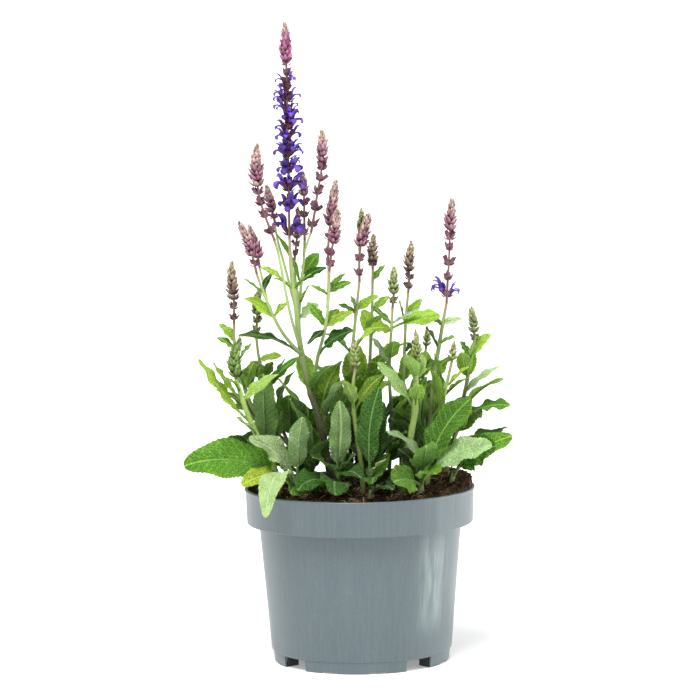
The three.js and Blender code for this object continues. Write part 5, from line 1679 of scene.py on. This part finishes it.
# %% A tree that puts florets on a spike
def floret_tree():
    tree = Growth("florets on a spike", ("Points", "Geometry"), ("Shapes", "Collection"),
                  ("Floret size", "Float", 1.0))
    given = tree.start
    source = tree.node("GeometryNodeCollectionInfo", {
        "Collection": given["Shapes"], "Separate Children": True, "Reset Children": True})
    align = "FunctionNodeAlignRotationToVector"
    stand = tree.node(align, {"Vector": tree.attribute("aim", "FLOAT_VECTOR")}, axis="Z")
    upright = tree.node(align, {"Rotation": stand.outputs[0], "Vector": (0, 0, 1)},
                        axis="Y", pivot_axis="Z")
    size = tree.scaled(tree.attribute("size", "FLOAT_VECTOR"), given["Floret size"])
    return tree.planted(given["Points"], source.outputs[0], upright.outputs[0], size, FLORET,
                        Pick_Instance=True, Instance_Index=tree.attribute("shape", "INT"))


FLORET_TREE = floret_tree()
print("floret tree:", len(FLORET_TREE.nodes), "nodes")

# %% [markdown]
# Where the florets sit. A whorl is two clusters of three calyces, opposite each other, each
# calyx turned a little at random and each cluster over a bract. In open flower a calyx may hold
# a flower. In a head, closed buds and broad bracts take turns in close rows, darker low down and
# cream at the tip.

# %% Spike colours
MAROON, DARKEST, DUSK, MAUVE, MAGENTA, CREAM, SPRING, LEAFY, VIOLET, LILAC, BROWN = np.array([
    (0.135, 0.032, 0.068), (0.050, 0.014, 0.036), (0.17, 0.060, 0.085), (0.46, 0.18, 0.29),
    (0.50, 0.145, 0.33), (0.70, 0.64, 0.40), (0.24, 0.32, 0.09), (0.18, 0.30, 0.07),
    (0.056, 0.020, 0.23), (0.175, 0.085, 0.54), (0.30, 0.19, 0.14),
])

PALETTES = {  # whorl root, whorl tip, head low, head high, head tip
    "spike_main": (MAROON, DARKEST, MAROON, MAUVE, MAGENTA),
    "spike_main_tip": (MAUVE * 0.6, MAROON, MAROON, MAGENTA, CREAM),
    "pink": (MAUVE * 0.6, MAROON, DUSK, MAUVE, CREAM),
    "brown": (BROWN * 0.6, DARKEST, DUSK * 0.8, BROWN, CREAM),
    "green": (SPRING * 0.8, DUSK * 0.7, SPRING * 0.7, SPRING * 1.2, CREAM),
    "young": (SPRING * 1.2, SPRING * 1.2, SPRING * 1.3, SPRING * 1.5, SPRING * 1.2 + MAUVE * 0.6),
    "leafy": (SPRING, SPRING, LEAFY, LEAFY * 1.4, SPRING),
}
PALETTE_OF = {
    "spike_main": "spike_main", "spike_main_tip": "spike_main_tip",
    "spike_left": "brown", "spike_back": "brown", "spike_right_inner": "brown",
    "spike_middle": "green", "spike_far_right": "green", "spike_centre_side": "green",
    "spike_left_back": "green", "bud_left_low": "leafy",
}


def palette(name):
    return PALETTES[PALETTE_OF.get(name, "young" if name.startswith("bud") else "pink")]


print("palettes:", ", ".join(PALETTES))


# %% Placing the florets
class Florets:
    """Collects the points of one spike, with what the tree needs to know of each."""

    def __init__(self, path):
        self.path, self.rows = path, []

    def add(self, height, angle, reach, rise, shape, size, root, tip):
        """One floret at a height, facing an angle, its root off the axis, aimed up by a rise."""
        t = self.path.share(height)
        along, side, front = self.path.frame(t)
        out = side * math.cos(angle) + front * math.sin(angle)
        aim = out * math.cos(rise) + along * math.sin(rise)
        self.rows.append((self.path.at(t) + out * reach, aim, np.broadcast_to(size, 3), shape,
                          np.append(root, 1), np.append(tip, 1)))

    def mesh(self, name):
        points, aim, size, shape, root, tip = (np.array(column) for column in zip(*self.rows))
        return make_mesh(name, points, [], [
            ("aim", "FLOAT_VECTOR", aim), ("size", "FLOAT_VECTOR", size), ("shape", "INT", shape),
            ("root_tint", "FLOAT_COLOR", root), ("tip_tint", "FLOAT_COLOR", tip)])


def shaded(colour, spread=0.25):
    return colour * (1 - spread / 2 + spread * rng.random())


# %% A whorl
CLUSTER = (-38, 0, 38)  # where a cluster's calyces stand, in degrees from its middle
FLOWER_STRAY = 4.2  # how far up or down a flower may stand from its whorl
WHORL_WIDTH = 5.9  # the width at which the shapes have their full size
OPEN_SLIM, SHUT_SLIM = 0.74, 0.86


def whorl(florets, height, turn, tints, width, flowering):
    """Two clusters of calyces. With the chance called flowering, each calyx holds a flower."""
    base, dark = tints[0], tints[1]
    scale = width / WHORL_WIDTH
    for side in (0, math.pi):
        for spread in CLUSTER:
            angle = turn + side + math.radians(about(spread, 18, rng.random()))
            rise = math.radians(48 + 24 * rng.random())
            size = scale * (0.80 + 0.32 * rng.random())
            slim = size * (OPEN_SLIM if flowering else SHUT_SLIM)
            level = height + 1.8 * (rng.random() - 0.3)
            kind = CALYX if flowering or rng.random() < 0.3 else BUD
            share = rng.random()
            florets.add(level, angle, 1.1, rise, kind, (slim, slim, size), shaded(base, 0.6),
                        shaded(dark * share + base * (1 - share), 0.5))
            if rng.random() < flowering:
                # a flower runs from violet at its root to a paler lilac at its tip, which partly
                # stands for painted highlights
                florets.add(about(level, FLOWER_STRAY, rng.random()), angle, 1.0,
                            math.radians(36 + 30 * rng.random()), FLOWER,
                            size * (0.84 + 0.22 * rng.random()),
                            shaded(VIOLET, 0.8), shaded(LILAC, 1.1))
        florets.add(height - 0.4, turn + side, 1.0, math.radians(30), BRACT, scale * 0.72,
                    shaded(LEAFY if flowering > 0.8 else base), shaded(dark, 0.6))


# %% A head
HEAD_COUNT = 8  # buds and bracts in one row
HEAD_STEP, HEAD_CROWDING = 3.5, 0.42  # from row to row, and how much closer they are at the tip
HEAD_WIDTH, HEAD_TAPER = 3.9, 0.62
HEAD_END = 0.6  # rows stop this far below the top


def head_rows(florets, bottom, top, radius, tints, cream_from):
    """Closed buds and bracts by turns. They shorten and grow paler towards the tip."""
    low, high, tip = tints[2:]
    height, row = bottom, 0
    while height < top - HEAD_END:
        share = (height - bottom) / max(top - bottom, 1)
        size = radius * (1 - HEAD_TAPER * share ** 2.5) / HEAD_WIDTH
        body = low * (1 - share) + high * share
        cream = clamp((share - cream_from) / (1 - cream_from)) ** 0.8
        for k in range(HEAD_COUNT):
            angle = 2 * math.pi * about(0.5 * row + k, 0.5, rng.random()) / HEAD_COUNT
            rise = math.radians(36 + 32 * share + 16 * rng.random())
            level = about(height, 1.0, rng.random())
            long = size * (0.72 + 0.30 * rng.random())
            pale = min(1, cream + 0.5 * rng.random() ** 3)
            if k % 2:
                florets.add(level, angle, 0.9 * size, rise, BUD, (long * 0.9, long * 0.9, long),
                            shaded(body * 0.45, 0.6),
                            shaded(high * (1 - 0.6 * pale) + tip * 0.6 * pale, 0.9))
            else:
                florets.add(level - 0.4, angle, 1.1 * size, rise + 0.1, BRACT,
                            (long * 0.8, long * 0.8, long), shaded(body * 0.55, 0.8),
                            shaded(high * (1 - pale) + tip * pale, 0.6))
        height += HEAD_STEP * (1 - HEAD_CROWDING * share)
        row += 1


# %% Building the spikes
LONE_TURN = 0.15  # the one open whorl of a spike in bud faces left and right
YOUNGEST, AGE_SPAN = 428, 70  # the height of the youngest open whorls, and down to the oldest
CROWDED = 340  # over this height a smaller whorl stands between each two
AXIS_SEAT = 1.2  # how far an axis reaches into the stem under it
AXIS_SIDES, AXIS_TOP = 8, 0.97
CREAM_FROM, TIP_CREAM_FROM = 0.25, 0.55  # where along a head the cream begins


def axis_piece(name, path):
    skin = Skin("tint")
    t = np.linspace(0, AXIS_TOP, max(6, int((path.high - path.low) / 4)))
    points, faces = tube(path, t, SPIKE_AXIS - 0.5 * t, AXIS_SIDES, 0.12)
    points[:AXIS_SIDES] -= AXIS_SEAT * path.frame(0)[0]
    tint = STEM_RIPE * 0.7 + MAROON * 0.3
    skin.add(points, faces, tint=np.tile(np.append(tint, 1), (len(points), 1)))
    return skin.piece(name + "_axis", STEM)


def shut_whorls(florets, whorls, turn, tints, loose):
    """Whorls in bud, a quarter turn apart and greener low down."""
    for height in whorls:
        turn += about(math.pi / 2, 0.3, rng.random())
        age = (whorls[-1] - height) / (florets.path.high - florets.path.low)
        ripe = [tints[0] * (1 - 0.45 * age) + LEAFY * 0.3 * age, tints[1] * (1 - 0.6 * age)]
        whorl(florets, height, turn, ripe, loose, 0)
    return turn


def open_whorls(florets, flowering, turn, tints):
    """Whorls in flower. The older ones, low down, are broader and have more flowers open."""
    many = len(flowering) > 1
    for height in flowering:
        turn += about(math.pi / 2, 0.4, rng.random())
        turn = turn if many else LONE_TURN
        age = np.clip((YOUNGEST - height) / AGE_SPAN, 0.15, 1) if many else 0.7
        whorl(florets, height, turn, tints, 5.0 + 1.9 * age, 0.25 + 0.7 * age)
        if many and height > CROWDED:
            whorl(florets, height + 4.5, turn + math.pi / 2, tints, 4.0 + 1.2 * age, 0.35)


total = 0
for name, (head, loose, head_from, whorls, flowering, _) in SPIKES.items():
    path, tints = spike_paths[name], palette(name)
    florets = Florets(path)
    turn = shut_whorls(florets, whorls, math.pi * rng.random(), tints, loose)
    open_whorls(florets, flowering, turn, tints)
    if head_from < path.high:
        head_rows(florets, max(head_from, path.low + 0.6), path.high - 2.4, head, tints,
                  TIP_CREAM_FROM if name == "spike_main_tip" else CREAM_FROM)
    piece = grown(name + "_florets", florets.mesh(name), FLORET_TREE, FLORET, Shapes=shapes,
                  Floret_size=1.0)
    total += hand_over(piece, [name]) + hand_over(axis_piece(name, path), [name])
print("spikes:", total, "triangles")

# %% [markdown]
# White down covers the stems over the soil. Each hair is a tiny three-sided cone, scattered
# over the stalks by the same tree as the crumbs, and made real.

# %% Down on the stems
HAIR_DENSITY = 900000.0  # to the square metre
HAIR_FROM = SOIL_LEVEL + 6


def hair():
    points = [(0.05 * math.cos(a), 0.05 * math.sin(a), -0.05) for a in (0.0, 2.1, 4.2)]
    faces = [[0, 2, 1], [0, 1, 3], [1, 2, 3], [2, 0, 3]]
    return bpy.data.objects.new("hair", make_mesh("hair", points + [(0.12, 0.0, 1.0)], faces))


def stalk_faces():
    """All the stems' faces in one mesh, marked where hairs may grow."""
    bm = bmesh.new()
    for piece in bpy.data.objects:
        if piece.name.endswith("_stalk") and piece.name.startswith("stem"):
            bm.from_mesh(piece.data)
    mesh = written(bm, bpy.data.meshes.new("hairy"))
    return marked(mesh, lambda face: face.center.z > HAIR_FROM * MM)


down = scattered("stem_down", DOWN, stalk_faces(), Shape=hair(), Density=HAIR_DENSITY,
                 Smallest=0.5, Largest=1.2, Tilt=0.5, Seed=21)
print("down:", hand_over(down, []), "triangles")
for shape in list(shapes.objects):
    bpy.data.objects.remove(shape)
bpy.data.collections.remove(shapes)

# %% [markdown]
# The studio: a pale floor that runs back far enough to fill the view, a bright white world for
# soft light from all round, a broad sun from above and in front, and one lamp at the right,
# which brightens the pot's side.

# %% The stage and the light
FLOOR_SIDE, FLOOR_FRONT, FLOOR_BACK = 20000, -6000, 90000
FLOOR_WHITE, FLOOR_GLOW = (0.95, 0.95, 0.95, 1), 0.3
WHITE = (1, 1, 1, 1)
WORLD_STRENGTH = 0.62
LAMP_PLACE, LAMP_SIZE, LAMP_POWER = Vector((1.28, 0.20, 0.25)), 0.7, 8
LIT_PLACE = Vector((0, 0, 0.22))
SUN_WAY, SUN_STRENGTH, SUN_ANGLE = Vector((0.16, 0.50, -1.0)), 3.3, math.radians(30)

corners = [(-FLOOR_SIDE, FLOOR_FRONT, 0), (FLOOR_SIDE, FLOOR_FRONT, 0),
           (FLOOR_SIDE, FLOOR_BACK, 0), (-FLOOR_SIDE, FLOOR_BACK, 0)]
floor_finish = Finish("floor", Base_Color=FLOOR_WHITE, Roughness=0.9,
                      Emission_Color=WHITE, Emission_Strength=FLOOR_GLOW)
floor = add_object("floor", make_mesh("floor", corners, [[0, 1, 2, 3]]), floor_finish.finish())

world = bpy.data.worlds.new("studio")
world.use_nodes = True
background = world.node_tree.nodes["Background"]
background.inputs["Color"].default_value = WHITE
background.inputs["Strength"].default_value = WORLD_STRENGTH
bpy.context.scene.world = world
bpy.context.scene.view_settings.view_transform = "Standard"


def light(name, kind, energy, way, **settings):
    """A light that shines one way."""
    data = bpy.data.lights.new(name, kind)
    data.energy = energy
    for label, value in settings.items():
        setattr(data, label, value)
    made = add_object(name, data)
    made.rotation_euler = way.to_track_quat("-Z", "Y").to_euler()
    return made


light("side", "AREA", LAMP_POWER, LIT_PLACE - LAMP_PLACE, size=LAMP_SIZE).location = LAMP_PLACE
light("overhead", "SUN", SUN_STRENGTH, SUN_WAY, angle=SUN_ANGLE)
print("lights:", ", ".join(item.name for item in bpy.data.lights))
